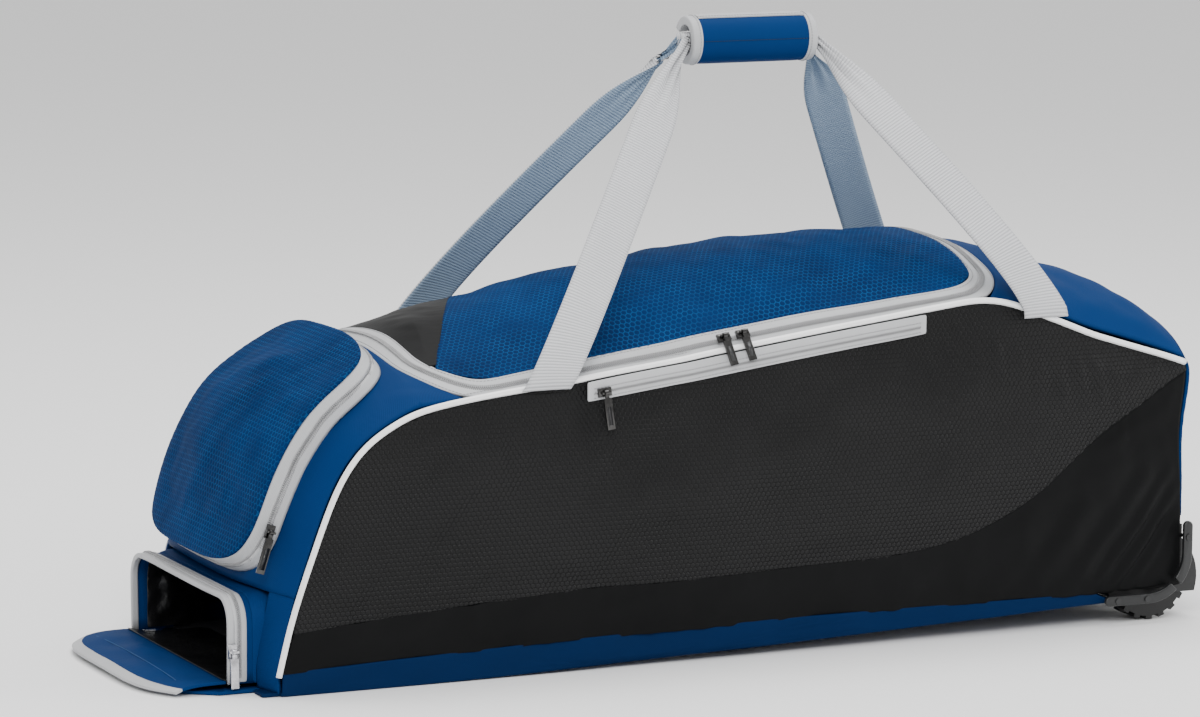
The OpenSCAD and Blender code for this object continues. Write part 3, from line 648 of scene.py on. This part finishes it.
def kick_folds(co):
    """Long folds that gather at the wheel, and a few soft ones along the foot."""
    wheel = np.array(joints["wheel_near_spin"]["pos_m"])
    total = np.zeros(len(co))
    for i, (back, reach, width, height) in enumerate([
            (0.072, 0.150, 0.0055, 0.0020), (0.052, 0.125, 0.0050, 0.0024), (0.034, 0.095, 0.0045, 0.0022),
            (0.098, 0.150, 0.0080, 0.0018), (0.140, 0.120, 0.0100, 0.0016)]):
        start = (wheel[0] - back, -0.158, 0.022)
        end = (wheel[0] - back + 0.62 * reach, -0.158, 0.022 + 0.80 * reach)
        total += fold(co, start, end, width, height, 0.6)
    for i in range(7):
        x = -0.30 + 0.095 * i
        total += fold(co, (x, -0.155, 0.032), (x + 0.05, -0.158, 0.062), 0.010, 0.0010, 0.4)
    return total


def make_sides():
    for side, turn in (("near", 0), ("far", 1)):
        for part, mat, height, length, seed, puff, edge in (
                ("side", "embossed", 0.0013, 0.085, 21, 0.0012, 0.03),
                ("kick", "coated", 0.0010, 0.075, 31, 0.0008, 0.02)):
            rippled(f"{part}_panel_{side}", f"{part}_cloth_{side}", "root", mat, height, length,
                    seed + turn, puff, None, edge, 3, 1.2 * MM)
        settled(f"piping_{side}", f"piping_cord_{side}", "root", "piping")


def end_folds(co):
    """The slack crease that runs from the pocket's top corner to the lid's zip, and small puckers."""
    low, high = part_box("pocket_door")
    total = fold(co, (high.x - 0.03, -0.12, high.z - 0.03), (high.x + 0.05, -0.14, high.z - 0.035),
                 0.006, -0.0018, 0.4)
    for i in range(4):
        x, z = low.x + 0.03 + 0.02 * i, low.z + 0.02 + 0.035 * i
        total += fold(co, (x, -0.125, z), (x + 0.02, -0.15, z + 0.012), 0.008, 0.0008, 0.4)
    return total


def rear_folds(co):
    """A broad hollow and a broad swell behind the lid."""
    low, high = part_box("rear_panel")
    return (fold(co, (low.x - 0.09, -0.10, high.z + 0.02), (low.x - 0.02, -0.13, high.z - 0.03),
                 0.018, -0.0034)
            + fold(co, (low.x - 0.12, -0.02, high.z + 0.04), (low.x - 0.03, -0.06, high.z + 0.01),
                   0.022, 0.0026))


def make_shell():
    for part, mat, height, seed, folds in (("end", "blue_end", 0.0012, 41, end_folds),
                                           ("top", "blue_top", 0.0018, 43, rear_folds),
                                           ("rear", "blue_back", 0.0022, 45, rear_folds)):
        rippled(f"{part}_panel", f"{part}_cloth", "root", mat, height, 0.08, seed, 0.0012, folds)
    for node, mat in (("mouth_gusset_near", "blue_side"), ("mouth_gusset_far", "blue_side"),
                      ("hinge_rim", "blue_top"), ("boot_panel", "coated")):
        settled(node, node + "_cloth", "root", mat)


def make_base():
    """The blue base, whose walls are slack and whose tail tucks back under the boot panel; its blue is
    darkened with painted shade.
    """
    piece, _ = soft_copy("base_panel", "base_cloth", 3, 35, 0.9)
    co = points_of(piece.data)
    low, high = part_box("base_panel")
    slack = 0.0012 * waves(co, 0.06, 51) * smoothstep(low.z + 0.002, low.z + 0.012, co[:, 2])
    co[:, 1] += np.sign(co[:, 1]) * slack
    co[:, 0] += 0.010 * smoothstep(high.x - 0.012, high.x, co[:, 0])
    put_points(piece.data, co)
    # the darker blue here is painted shade
    finish_piece(piece, "root", "navy_side", "base_panel")


# ---- zips ----

def surface_of(*names):
    """A tree of the named CAD nodes' faces, to find heights on."""
    bm = bmesh.new()
    for name in names:
        bm.from_mesh(nodes[name].data)
    tree = BVHTree.FromBMesh(bm)
    bm.free()
    return tree


def resample(path, step, closed=False):
    path = np.asarray(path, float)
    if closed:
        path = np.vstack([path, path[:1]])
    gaps = np.linalg.norm(np.diff(path, axis=0), axis=1)
    at = np.concatenate([[0], np.cumsum(gaps)])
    count = max(2, int(at[-1] / step))
    where = np.linspace(0, at[-1], count + 1)
    if closed:
        where = where[:-1]
    return np.stack([np.interp(where, at, path[:, k]) for k in range(3)], 1)


def tangents(path, closed=False):
    if closed:
        run = np.roll(path, -1, 0) - np.roll(path, 1, 0)
    else:
        run = np.gradient(path, axis=0)
    return unit(run)


def grid(rows, across, wrap=False):
    """Faces between rows of points; a wrapped grid closes each row on itself."""
    return [(i * across + j, (i + 1) * across + j, (i + 1) * across + (j + 1) % across,
             i * across + (j + 1) % across)
            for i in range(rows - 1) for j in range(across if wrap else across - 1)]


def flipped(face, shift=0):
    """A four-cornered face turned over, with its corners' numbers moved on by shift."""
    a, b, c, d = (v + shift for v in face)
    return a, d, c, b


def blobs(name, centres, along, across, up, size):
    """One mesh of many small rounded blocks, each with its own axes."""
    sides, sections = 8, ((-1, 0.55), (-0.7, 1), (0.7, 1), (1, 0.55))
    ring = [(math.cos(a), math.sin(a)) for a in np.arange(sides) * 2 * math.pi / sides]
    shape = np.array([(x, c * r, s * r) for x, r in sections for c, s in ring])
    count = len(shape)
    faces = grid(len(sections), sides, True)
    faces += [tuple(range(sides)), tuple(range(count - 1, count - 1 - sides, -1))]
    co = (centres[:, None, :] + shape[None, :, :1] * size[0] * along[:, None, :]
          + shape[None, :, 1:2] * size[1] * across[:, None, :]
          + shape[None, :, 2:3] * size[2] * up[:, None, :]).reshape(-1, 3)
    every = [tuple(v + count * i for v in face) for i in range(len(centres)) for face in faces]
    return mesh_piece(name, co.tolist(), every)


def zip_coil(name, path, up, body, pitch=1.75 * MM, closed=False, half=2.0 * MM, lift=0.8 * MM):
    """Two rows of slanting coil turns that meet along the path."""
    path = resample(path, pitch, closed)
    run = tangents(path, closed)
    across = unit(np.cross(up(path), run))
    lifted = np.cross(run, across)
    rows = []
    for sign in (-1, 1):
        slant = unit(across * sign + run * 0.35)
        shift = run * (0.25 * pitch * sign)
        rows.append((path + across * sign * half * 0.62 + lifted * lift + shift, slant, run, lifted))
    centres, along, side, high = (np.vstack([row[k] for row in rows]) for k in range(4))
    piece = blobs(name, centres, along, side, high, (half * 0.72, 0.55 * MM, 0.75 * MM))
    return finish_piece(piece, body, "coil")


def stitches(name, path, up, body, mat="thread", pitch=3.2 * MM, closed=False, lift=0.15 * MM):
    """A row of sewn stitches along a path."""
    path = resample(path, pitch, closed)
    run = tangents(path, closed)
    across = unit(np.cross(up(path), run))
    lifted = np.cross(run, across)
    size = (pitch * 0.36, 0.32 * MM, 0.28 * MM)
    piece = blobs(name, path + lifted * lift, run, across, lifted, size)
    return finish_piece(piece, body, mat)


def lid_outline(off):
    """Plan of the lid's zip from the far left corner, round the near side, to the far right corner."""
    low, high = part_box("lid_tape")
    x0, x1, y0, y1 = low.x - 0.0006, high.x + 0.0006, low.y - 0.0006, high.y
    left, right = 0.060, 0.030
    points = [(x0 - off, y1)]
    for x, radius, start in ((x0 + left, left, 180), (x1 - right, right, 270)):
        for k in range(13):
            a = math.radians(start + 90 * k / 12)
            points.append((x + (radius + off) * math.cos(a), y0 + radius + (radius + off) * math.sin(a)))
    points.append((x1 + off, y1))
    return points


def drop_on(tree, plan, above=0.6):
    """Plan points laid on the surface below them."""
    placed = []
    for x, y in plan:
        hit = tree.ray_cast(Vector((x, y, above)), Vector((0, 0, -1)))[0]
        if hit is not None:
            placed.append(hit)
    return np.array(placed)


def main_zip_path(tree, off):
    plan = np.array(lid_outline(off))
    plan = resample(np.hstack([plan, np.zeros((len(plan), 1))]), 0.004)[:, :2]
    found = drop_on(tree, plan)
    return found + settle(found)


COIL_OFF, OUTER_STITCH_OFF, INNER_STITCH_OFF = 0.0014, 0.0115, -0.0068


def make_main_zip():
    settled("main_tape_body", "main_zip_outer", "root", "tape")
    settled("lid_tape", "main_zip_inner", "lid", "tape")
    outer, inner = surface_of("main_tape_body"), surface_of("lid_tape")
    zip_coil("main_zip_coil", main_zip_path(outer, COIL_OFF), outward, "root")
    stitches("main_zip_stitch_outer", main_zip_path(outer, OUTER_STITCH_OFF), outward, "root")
    stitches("main_zip_stitch_inner", main_zip_path(inner, INNER_STITCH_OFF), outward, "lid")


def rim_ring(node, panel, low, high):
    """Points of a ring-shaped tape whose distance from a panel is within limits, in order round it."""
    tree = surface_of(panel)
    co = points_of(nodes[node].data)
    centre = co.mean(0)
    u, v = np.array(ACROSS, float), np.array(Vector(SLOPE).normalized())
    kept = np.array([p for p in co if low < tree.find_nearest(Vector(p))[3] < high])
    angle = np.arctan2((kept - centre) @ v, (kept - centre) @ u)
    order = np.argsort(angle)
    kept, angle = kept[order], angle[order]
    count = 56
    ring = []
    for k in range(count):
        a = -math.pi + 2 * math.pi * (k + 0.5) / count
        gap = np.abs((angle - a + math.pi) % (2 * math.pi) - math.pi)
        near = kept[gap < math.pi / count * 1.3]
        if len(near):
            ring.append(near.mean(0))
    return np.array(ring)


def from_pocket(co):
    """Directions out of the end pocket's middle, for its side wall."""
    low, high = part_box("pocket_door")
    middle = np.array((low + high) / 2)
    face = np.array(Vector((-SLOPE[2], 0, SLOPE[0])))
    away = co - middle
    return unit(away - np.outer(away @ face, face))


POCKET_ZIP_REACH = (0.0074, 0.0144)


def make_end_pocket():
    piece, far = soft_copy("pocket_door", "pocket_cloth", 3, 50, 0.7)
    co = points_of(piece.data)
    inside = smoothstep(0.0, 0.035, far)
    low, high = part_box("pocket_door")
    size = inside * (-0.0055 + 0.0012 * waves(co, 0.07, 61) + 0.0006 * waves(co, 0.028, 62))
    size += fold(co, (high.x - 0.03, -0.06, high.z), (low.x + 0.06, 0.06, high.z - 0.04), 0.013,
                 0.0022) * inside
    size += fold(co, (low.x + 0.01, -0.08, low.z + 0.05), (low.x + 0.02, 0.02, low.z + 0.02), 0.010,
                 0.0020, 0.4) * inside
    put_points(piece.data, co + settle(co) + outward(co) * size[:, None])
    finish_piece(piece, "end_pocket_door", "dobby_end", "pocket_door")
    settled("pocket_tape_body", "pocket_zip_outer", "root", "tape")
    settled("pocket_tape_door", "pocket_zip_inner", "end_pocket_door", "tape")
    ring = rim_ring("pocket_tape_body", "end_panel", *POCKET_ZIP_REACH)
    zip_coil("pocket_zip_coil", ring + settle(ring), from_pocket, "root", closed=True, lift=1.5 * MM)


TO_PIPING, TAPE_END, TAPE_STITCH = 0.0042, 0.006, 0.0042


def make_side_pocket():
    """The side pocket's zip, whose tape is drawn up to meet the piping."""
    piece = settled("side_pocket_tape", "side_pocket_zip", "root", "tape", 3, 50, 0.55)
    low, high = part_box("side_pocket_tape")
    slide = joints["side_pocket_slide"]["axis"]
    slope = slide[2] / slide[0]
    half = (high.z - low.z - slope * (high.x - low.x)) / 2
    start = np.array([low.x + TAPE_END, low.y - 0.0002, low.z + half + slope * TAPE_END])
    end = np.array([high.x - TAPE_END, low.y - 0.0002, high.z - half - slope * TAPE_END])
    co = points_of(piece.data)
    above = co[:, 2] - (start[2] + slope * (co[:, 0] - start[0]))
    co[:, 2] += TO_PIPING * smoothstep(0.001, 0.0045, above)
    put_points(piece.data, co)
    line = np.linspace(start, end, 60)
    line = line + settle(line)
    side = facing(0, -1, 0)
    zip_coil("side_pocket_coil", line, side, "root", half=0.9 * MM, lift=0.25 * MM)
    for k, drop in enumerate((-TAPE_STITCH, TAPE_STITCH)):
        stitches(f"side_pocket_stitch_{k}", line + np.array([0, 0, drop]), side, "root")


# ---- lid ----

def lid_folds(co):
    """Loose folds across the lid, deepest towards its right end, and dimples in its middle."""
    flat = co * np.array([1, 1, 0])
    total = np.zeros(len(co))
    for x0, y0, x1, y1, width, height in (
            (0.10, -0.13, 0.20, 0.02, 0.012, 0.0045), (0.15, -0.13, 0.25, -0.02, 0.009, 0.0038),
            (0.20, -0.12, 0.27, -0.05, 0.008, 0.0030), (0.03, -0.12, 0.12, 0.06, 0.016, 0.0036),
            (-0.06, -0.10, 0.04, 0.05, 0.018, 0.0030), (-0.16, -0.08, -0.10, 0.08, 0.016, 0.0022),
            (0.22, 0.02, 0.12, 0.12, 0.014, 0.0030), (0.05, 0.02, -0.04, 0.12, 0.016, 0.0026),
            (0.00, -0.13, 0.02, -0.08, 0.007, 0.0022), (-0.03, -0.13, -0.02, -0.09, 0.006, 0.0018),
            (0.06, -0.135, 0.075, -0.09, 0.006, 0.0020)):
        total += fold(flat, (x0, y0, 0), (x1, y1, 0), width, 0.36 * height, 0.55)
    return total


def make_lid():
    piece = rippled("lid_panel", "lid_cloth", "lid", "dobby_top", 0.0008, 0.07, 71, -0.001,
                    lid_folds, 0.02, 3)
    rippled("lid_end_panel", "lid_end_cloth", "lid", "coated", 0.0012, 0.06, 73, 0.001, levels=3)


# ---- sleeve ----

ARCH_RADIUS = 0.024


def arch_path(x, half_w, floor, top, radius=ARCH_RADIUS):
    """The mouth's arch at one x: up one side, over the top and down the other."""
    count = 9
    points = [(x, -half_w, floor + (top - radius - floor) * i / 3) for i in range(3)]
    for side, start in ((-1, 180), (1, 90)):
        for k in range(count):
            a = math.radians(start - 90 * k / (count - 1))
            points.append((x, side * (half_w - radius) + radius * math.cos(a),
                           top - radius + radius * math.sin(a)))
    points += [(x, half_w, top - radius - (top - radius - floor) * i / 3) for i in range(1, 4)]
    return np.array(points)


def make_mouth_zip():
    """Half of the mouth's zip: silver tape and coil on the outside of the hood's front."""
    low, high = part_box("mouth_hood")
    rows = [arch_path(low.x + x, high.y + lift, low.z, high.z + lift)
            for x, lift in ((-0.0008, 0.0002), (0.0, 0.0011), (0.0100, 0.0011), (0.0105, 0.0002))]
    piece = ribbon("mouth_zip_tape", rows, 0.0008)
    finish_piece(piece, "root", "tape")
    line = arch_path(low.x + 0.0035, high.y + 0.0013, low.z + 0.006, high.z + 0.0013)
    middle = np.array([0, 0, high.z - 0.03])

    def out(co):
        away = (co - middle) * np.array([0, 1, 1])
        away[:, 1] *= 0.55
        return unit(away)

    zip_coil("mouth_zip_coil", line, out, "root", half=1.4 * MM, lift=0.4 * MM)


def ribbon(name, rows, thick):
    """A sheet through rows of points, given some thickness."""
    verts = [tuple(p) for row in rows for p in row]
    faces = [flipped(face) for face in grid(len(rows), len(rows[0]))]
    piece = mesh_piece(name, verts, faces)
    modify(piece, "SOLIDIFY", thickness=thick, offset=0)
    modify(piece, "SUBSURF", levels=2, render_levels=2)
    bake(piece)
    return piece


def make_throat():
    """Black nylon from the hood's back edge to the sleeve, crumpled, a blue hem at the hood's back and a
    nylon sill below the opening.
    """
    hood_low, hood_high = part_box("mouth_hood")
    sleeve_low, sleeve_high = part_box("sleeve_lining")
    x0, x1 = hood_low.x + 0.008, sleeve_low.x + 0.02
    rows = []
    for i in range(22):
        t = i / 21
        half_w = hood_high.y - 0.0035 + (sleeve_high.y - 0.003 - hood_high.y) * smoothstep(0.3, 1, t)
        top = hood_high.z - 0.0030 + (sleeve_high.z - hood_high.z) * float(smoothstep(0.3, 1, t))
        row = resample(arch_path(x0 + (x1 - x0) * t, half_w, 0.010, top, 0.022), 0.0035)
        wave = 0.0016 * waves(row, 0.022, 83) - 0.0016
        away = row - np.array([row[0, 0], 0, 0.03])
        away[:, 1] *= 0.5
        rows.append(row + unit(away) * (wave * math.sin(math.pi * min(1, 0.15 + t)))[:, None])
    count = min(len(row) for row in rows)
    rows = [row[np.linspace(0, len(row) - 1, count).round().astype(int)] for row in rows]
    finish_piece(ribbon("mouth_nylon", rows, 0.0006), "root", "lining")
    hem = [arch_path(hood_high.x + x, hood_high.y + y, 0.006, hood_high.z + y)
           for x, y in ((-0.013, 0.0003), (-0.008, 0.0012), (-0.002, 0.0022), (0.010, 0.0022))]
    finish_piece(ribbon("mouth_hem", hem, 0.001), "root", "blue_end")
    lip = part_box("bat_flap")[1].x
    across = np.linspace(-hood_high.y + 0.001, hood_high.y - 0.001, 30)
    rows = [[(x, y, z) for y in across]
            for x, z in ((lip - 0.003, 0.0115), (lip + 0.004, 0.0095), (lip + 0.018, 0.0060),
                         (x1 + 0.006, 0.0062))]
    finish_piece(ribbon("mouth_sill", rows, 0.0012), "root", "lining")


def make_sleeve():
    settled("mouth_hood", "mouth_hood_cloth", "root", "blue_end", sharp=35)
    make_mouth_zip()
    make_throat()
    settled("mouth_tape", "mouth_binding", "root", "binding", sharp=35)
    settled("sleeve_lining", "sleeve_nylon", "root", "lining", 1)
    piece, far = soft_copy("bat_flap", "flap_cloth", 3)
    co = points_of(piece.data)
    co[:, 2] += 0.0012 * waves(co, 0.05, 81) * smoothstep(0, 0.02, far)
    put_points(piece.data, co)
    finish_piece(piece, "sleeve_flap", "blue_end", "bat_flap")
    low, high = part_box("bat_flap")
    tree = surface_of("bat_flap")
    plan = [(low.x + 0.022, y) for y in np.linspace(low.y + 0.022, high.y - 0.022, 40)]
    stitches("flap_stitch", drop_on(tree, plan), facing(0, 0, 1), "sleeve_flap", "thread_pale")
    piece, _ = soft_copy("flap_tape", "flap_binding")
    finish_piece(piece, "sleeve_flap", "binding", "flap_tape")
    piece, _ = soft_copy("haul_handle", "haul_webbing", 2, 40)
    finish_piece(piece, "root", "blue_end", "haul_handle")


# ---- handles ----

GRIP_FOLD = 0.013
LEG_STEPS, LEG_ACROSS = 56, 10
STRAP_THICK = 0.0024


def strap_leg(foot, head, outside, lean):
    """One webbing leg as a closed strip: flat at its seam, gathered where it enters the grip."""
    width, thick, steps, across = STRAP_WIDTH, STRAP_THICK, LEG_STEPS, LEG_ACROSS
    foot, head, outside = (np.array(v, float) for v in (foot, head, outside))
    along = (head - foot) / np.linalg.norm(head - foot)
    outside = outside / np.linalg.norm(outside)
    flat = np.cross(along, outside)
    flat /= np.linalg.norm(flat)
    sign = math.copysign(1, flat[0])
    rows = []
    for i in range(steps + 1):
        u = i / steps
        bow = 0.016 * math.sin(math.pi * math.sqrt(u))
        k = float(smoothstep(0.70, 1.0, np.array(u)))
        first = np.array([width / 2 / abs(flat[0]) * sign, 0, 0])
        w = first + (flat * width / 2 - first) * min(1, u * 4)
        turned = np.array([0, 0, lean * GRIP_FOLD / 2])
        half = w + (turned - w) * k ** 1.6
        centre = foot + (head - foot) * u + outside * bow
        n = np.cross(half, along)
        n /= np.linalg.norm(n)
        n *= math.copysign(1, n @ outside if k < 0.5 else n[1] * outside[1])
        rows.append((centre, half, n, k))
    length = np.linalg.norm(head - foot)
    verts, uvs = [], []
    for layer in (1, -1):
        for i, (centre, half, n, gather) in enumerate(rows):
            for j in range(across + 1):
                s = 2 * j / across - 1
                pleat = 0.0045 * gather * math.sin(2.5 * math.pi * s) * (1 - abs(s) ** 3)
                cup = 0.0010 * (1 - s * s) + pleat
                verts.append(centre + half * s + n * (cup + layer * thick / 2 * (1 - 0.35 * s ** 8)))
                uvs.append((length * i / steps, (s + 1) * width / 2))
    m = across + 1
    count = (steps + 1) * m
    faces = []
    for face in grid(steps + 1, m):  # the outer face and the inner face turn by turn
        faces += [flipped(face), tuple(v + count for v in face)]
    for i in range(steps):
        for j in (0, across):
            a, b = i * m + j, (i + 1) * m + j
            faces.append((a, b, b + count, a + count) if j == 0 else (b, a, a + count, b + count))
    for i in (0, steps):
        for j in range(across):
            a, b = i * m + j, i * m + j + 1
            faces.append((b, a, a + count, b + count) if i == 0 else (a, b, b + count, a + count))
    return np.array(verts), faces, uvs


def strip_mesh(name, parts):
    """Joins strips of points, faces and along-across coordinates into one object."""
    verts, faces, uvs = [], [], []
    for co, face, uv in parts:
        base = len(verts)
        verts += [tuple(p) for p in co]
        faces += [tuple(v + base for v in f) for f in face]
        uvs += uv
    piece = mesh_piece(name, verts, faces)
    mesh = piece.data
    layer = mesh.uv_layers.new(name="strip")
    loops = np.empty(len(mesh.loops), int)
    mesh.loops.foreach_get("vertex_index", loops)
    layer.data.foreach_set("uv", np.array(uvs)[loops].ravel())
    face_outwards(mesh)
    return piece


def core_bar(x0, x1, y, z, width, thick):
    """The gathered webbing inside the grip."""
    count, ring = 24, 12
    verts, uvs = [], []
    for i in range(count + 1):
        x = x0 + (x1 - x0) * i / count
        for j in range(ring):
            a = 2 * math.pi * j / ring
            verts.append((x, y + thick / 2 * math.cos(a), z + width / 2 * math.sin(a)))
            uvs.append((x - x0, j * 0.003))
    faces = [flipped(face) for face in grid(count + 1, ring, True)]
    faces += [tuple(range(ring)), tuple(range((count + 1) * ring - 1, count * ring - 1, -1))]
    return np.array(verts), faces, uvs


def make_strap(side, body, node):
    sign = -1 if side == "near" else 1
    swing = joints[f"{side}_handle_swing"]
    left = Vector(swing["pos_m"])
    axis = Vector(swing["axis"])
    right = left + axis * ((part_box(node)[1].x - STRAP_WIDTH / 2 - left.x) / axis.x)
    wrap_low, wrap_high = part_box("grip_binding")
    grip_z = (wrap_low.z + wrap_high.z) / 2
    parts = []
    for foot, x, lean in ((left, wrap_low.x - 0.002, -1), (right, wrap_high.x + 0.002, 1)):
        head = Vector((x, sign * 0.005, grip_z))
        out = (0, sign * (grip_z - foot.z), abs(foot.y) - 0.005)
        parts.append(strap_leg(foot, head, out, lean))
    parts.append(core_bar(wrap_low.x - 0.0045, wrap_high.x + 0.0045, sign * 0.005, grip_z, GRIP_FOLD,
                          0.006))
    piece = strip_mesh(f"webbing_{side}", parts)
    finish_piece(piece, body, "webbing", node)
    # the legs' faces towards the bag take the webbing copy with painted shade
    piece.data.materials.append(mats["webbing_inside"])
    legs_start = 0
    for part in parts[:2]:
        for i in range(legs_start + 1, legs_start + 2 * LEG_STEPS * LEG_ACROSS, 2):
            piece.data.polygons[i].material_index = 1
        legs_start += len(part[1])
    for k, foot in enumerate((left, right)):
        for row in (0.004, 0.009):
            a = foot + Vector((-0.016, sign * 0.0016, row + 0.002))
            b = a + Vector((0.032, 0, 0.032 * axis.z / axis.x))
            stitches(f"webbing_{side}_stitch_{k}_{int(row * 1000)}", np.array([a, b]),
                     facing(0, sign, 0), body)


FLAP_EDGE = (0.205, 0.285)


def make_grip():
    """The padded wrap: a crowned blue pad whose edges are bound in silver."""
    low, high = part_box("grip_binding")
    centre_z = (low.z + high.z) / 2
    radius = (high.z - low.z) / 2 - 0.0008
    opening = math.asin(0.0095 / radius)
    steps, rings = 60, 64

    def surface(s, t, lift):
        """s runs along the grip, t round it from one lip of the slot to the other."""
        a = opening + (2 * math.pi - 2 * opening) * t
        edge = min(s, 1 - s) * (high.x - low.x)
        squeeze = 1 - 0.05 * (1 - min(1, edge / 0.02)) ** 2
        r = radius * squeeze * (1 - 0.02 * math.cos(2 * a)) + lift
        x = low.x + (high.x - low.x) * s
        return (x, r * math.cos(a), centre_z + r * math.sin(a))

    def shell(name, s0, s1, t0, t1, lift, thick, mat, n, m):
        verts = [surface(s0 + (s1 - s0) * i / n, t0 + (t1 - t0) * j / m, lift - d * thick)
                 for d in (0, 1) for i in range(n + 1) for j in range(m + 1)]
        k = (n + 1) * (m + 1)
        faces = [one for face in grid(n + 1, m + 1) for one in (face, flipped(face, k))]
        rim = (list(range(m)) + [m + i * (m + 1) for i in range(n)]
               + [n * (m + 1) + j for j in range(m, 0, -1)] + [i * (m + 1) for i in range(n, 0, -1)])
        for a, b in zip(rim, rim[1:] + rim[:1]):
            faces.append((a, b, b + k, a + k))
        piece = mesh_piece(name, verts, faces)
        face_outwards(piece.data)
        modify(piece, "BEVEL", width=min(thick * 0.35, 0.0012), segments=3, limit_method="ANGLE")
        bake(piece)
        return finish_piece(piece, "near_handle", mat)

    band = 0.009 / (high.x - low.x)
    lip = 0.010 / (2 * math.pi * radius)
    pad = shell("grip_pad", band * 0.6, 1 - band * 0.6, lip * 0.4, 1 - lip * 0.4, 0, 0.006,
                "blue_side", steps, rings)
    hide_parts("grip_wrap")
    bound = (0.0009, 0.0075, "binding")
    left = shell("grip_binding_left", 0, band, 0, 1, *bound, 6, rings)
    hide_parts("grip_binding")
    shell("grip_binding_right", 1 - band, 1, 0, 1, *bound, 6, rings)
    shell("grip_binding_top", band, 1 - band, 0, lip, *bound, steps, 6)
    shell("grip_binding_under", band, 1 - band, 1 - lip, 1, *bound, steps, 6)
    shell("grip_binding_front", band, 1 - band, *FLAP_EDGE, 0.0014, 0.0018, "binding", steps, 8)

    def away(co):
        return unit((co - np.array([0, 0, centre_z])) * np.array([0, 1, 1]))

    for k, s in enumerate((band * 0.72, 1 - band * 0.72)):
        ring = np.array([surface(s, t, 0.0010) for t in np.linspace(0.02, 0.98, 90)])
        stitches(f"grip_stitch_end_{k}", ring, away, "near_handle", "thread", 2.6 * MM)
    for k, (t, mat, lift) in enumerate(((lip * 0.72, "thread", 0.0010), (1 - lip * 0.72, "thread", 0.0010),
                                        (FLAP_EDGE[1] - 0.014, "thread", 0.0015),
                                        (0.50, "thread_blue", 0.0001))):
        line = np.array([surface(s, t, lift) for s in np.linspace(band, 1 - band, 60)])
        stitches(f"grip_stitch_long_{k}", line, away, "near_handle", mat, 2.8 * MM)


# ---- small hard parts ----

def rounded_copy(node, name, body, mat, width):
    """A CAD part with its edges rounded off."""
    bm = bmesh.new()
    bm.from_mesh(nodes[node].data)
    bmesh.ops.remove_doubles(bm, verts=bm.verts, dist=0.00001)
    bmesh.ops.dissolve_limit(bm, angle_limit=math.radians(1), verts=bm.verts, edges=bm.edges)
    bmesh.ops.recalc_face_normals(bm, faces=bm.faces)
    piece = piece_of(bm, name)
    modify(piece, "BEVEL", width=width, segments=3, limit_method="ANGLE", angle_limit=math.radians(30))
    bake(piece)
    finish_piece(piece, body, mat, node)


def make_inlay(name, node, body):
    """A dark strip let into both faces of a pull's tab."""
    co = points_of(nodes[node].data)
    middle = co.mean(0)
    _, axes = np.linalg.eigh(np.cov((co - middle).T))
    up, across, along = axes[:, 0], axes[:, 1], axes[:, 2]
    if along[2] > 0:
        along = -along
    reach = (co - middle) @ along
    low, high = reach.min(), reach.max()
    tab = co[reach > low + 0.55 * (high - low)] - middle
    halves = (0.24 * (high - low), 0.58 * np.ptp(tab @ across) / 2, np.ptp(tab @ up) / 2 + 0.00015)
    height = ((tab @ up).min() + (tab @ up).max()) / 2
    centre = middle + along * (low + 0.66 * (high - low)) + up * height
    bm = bmesh.new()
    bmesh.ops.create_cube(bm, size=2)
    for vert in bm.verts:
        x, y, z = vert.co
        vert.co = centre + along * x * halves[0] + across * y * halves[1] + up * z * halves[2]
    bmesh.ops.bevel(bm, geom=bm.edges[:], offset=0.0004, segments=3, affect="EDGES")
    bmesh.ops.recalc_face_normals(bm, faces=bm.faces)
    finish_piece(piece_of(bm, name), body, "inlay")


def make_sliders():
    for zip_name, mat in (("main_left", "gunmetal"), ("main_right", "gunmetal"),
                          ("side_pocket", "gunmetal"), ("end_pocket", "gunmetal"), ("sleeve", "zinc")):
        stem, _, hand = zip_name.partition("_") if zip_name.startswith("main") else (zip_name, "", "")
        end = f"_{hand}" if hand else ""
        slider, pull = f"{stem}_slider{end}", f"{stem}_pull{end}"
        rounded_copy(slider, slider + "_cast", f"slider_{zip_name}", mat, 0.0006)
        rounded_copy(pull, pull + "_cast", f"pull_{zip_name}", mat, 0.0005)
        if mat == "gunmetal":
            make_inlay(pull + "_inlay", pull, f"pull_{zip_name}")


def make_hard_parts():
    finishes = {
        "base_board": "board", "divider_panel": "pad", "side_pocket_bag": "lining",
        "anchor_patches": "coated", "wheel_housing_near": "wheel_plastic",
        "wheel_housing_far": "wheel_plastic", "axle_pins": "steel", "housing_screws": "rail",
        "grip_hook_strip": "hook", "tyre_near": "rubber", "tyre_far": "rubber",
        "hub_near": "wheel_plastic", "hub_far": "wheel_plastic",
    }
    for node, mat in finishes.items():
        data = nodes[node].data
        data.materials.clear()
        data.materials.append(mats[mat])
    for side in ("near", "far"):
        rail = f"skid_rail_{side}"
        rounded_copy(rail, rail + "_moulded", "root", "rail", 0.0012)


mats = make_materials()
make_camera()
make_stage()
note_hard_spots()
make_sides()
make_shell()
make_base()
make_main_zip()
make_lid()
make_end_pocket()
make_side_pocket()
make_sleeve()
make_strap("near", "near_handle", "near_strap")
make_strap("far", "far_handle", "far_strap")
make_grip()
make_sliders()
make_hard_parts()
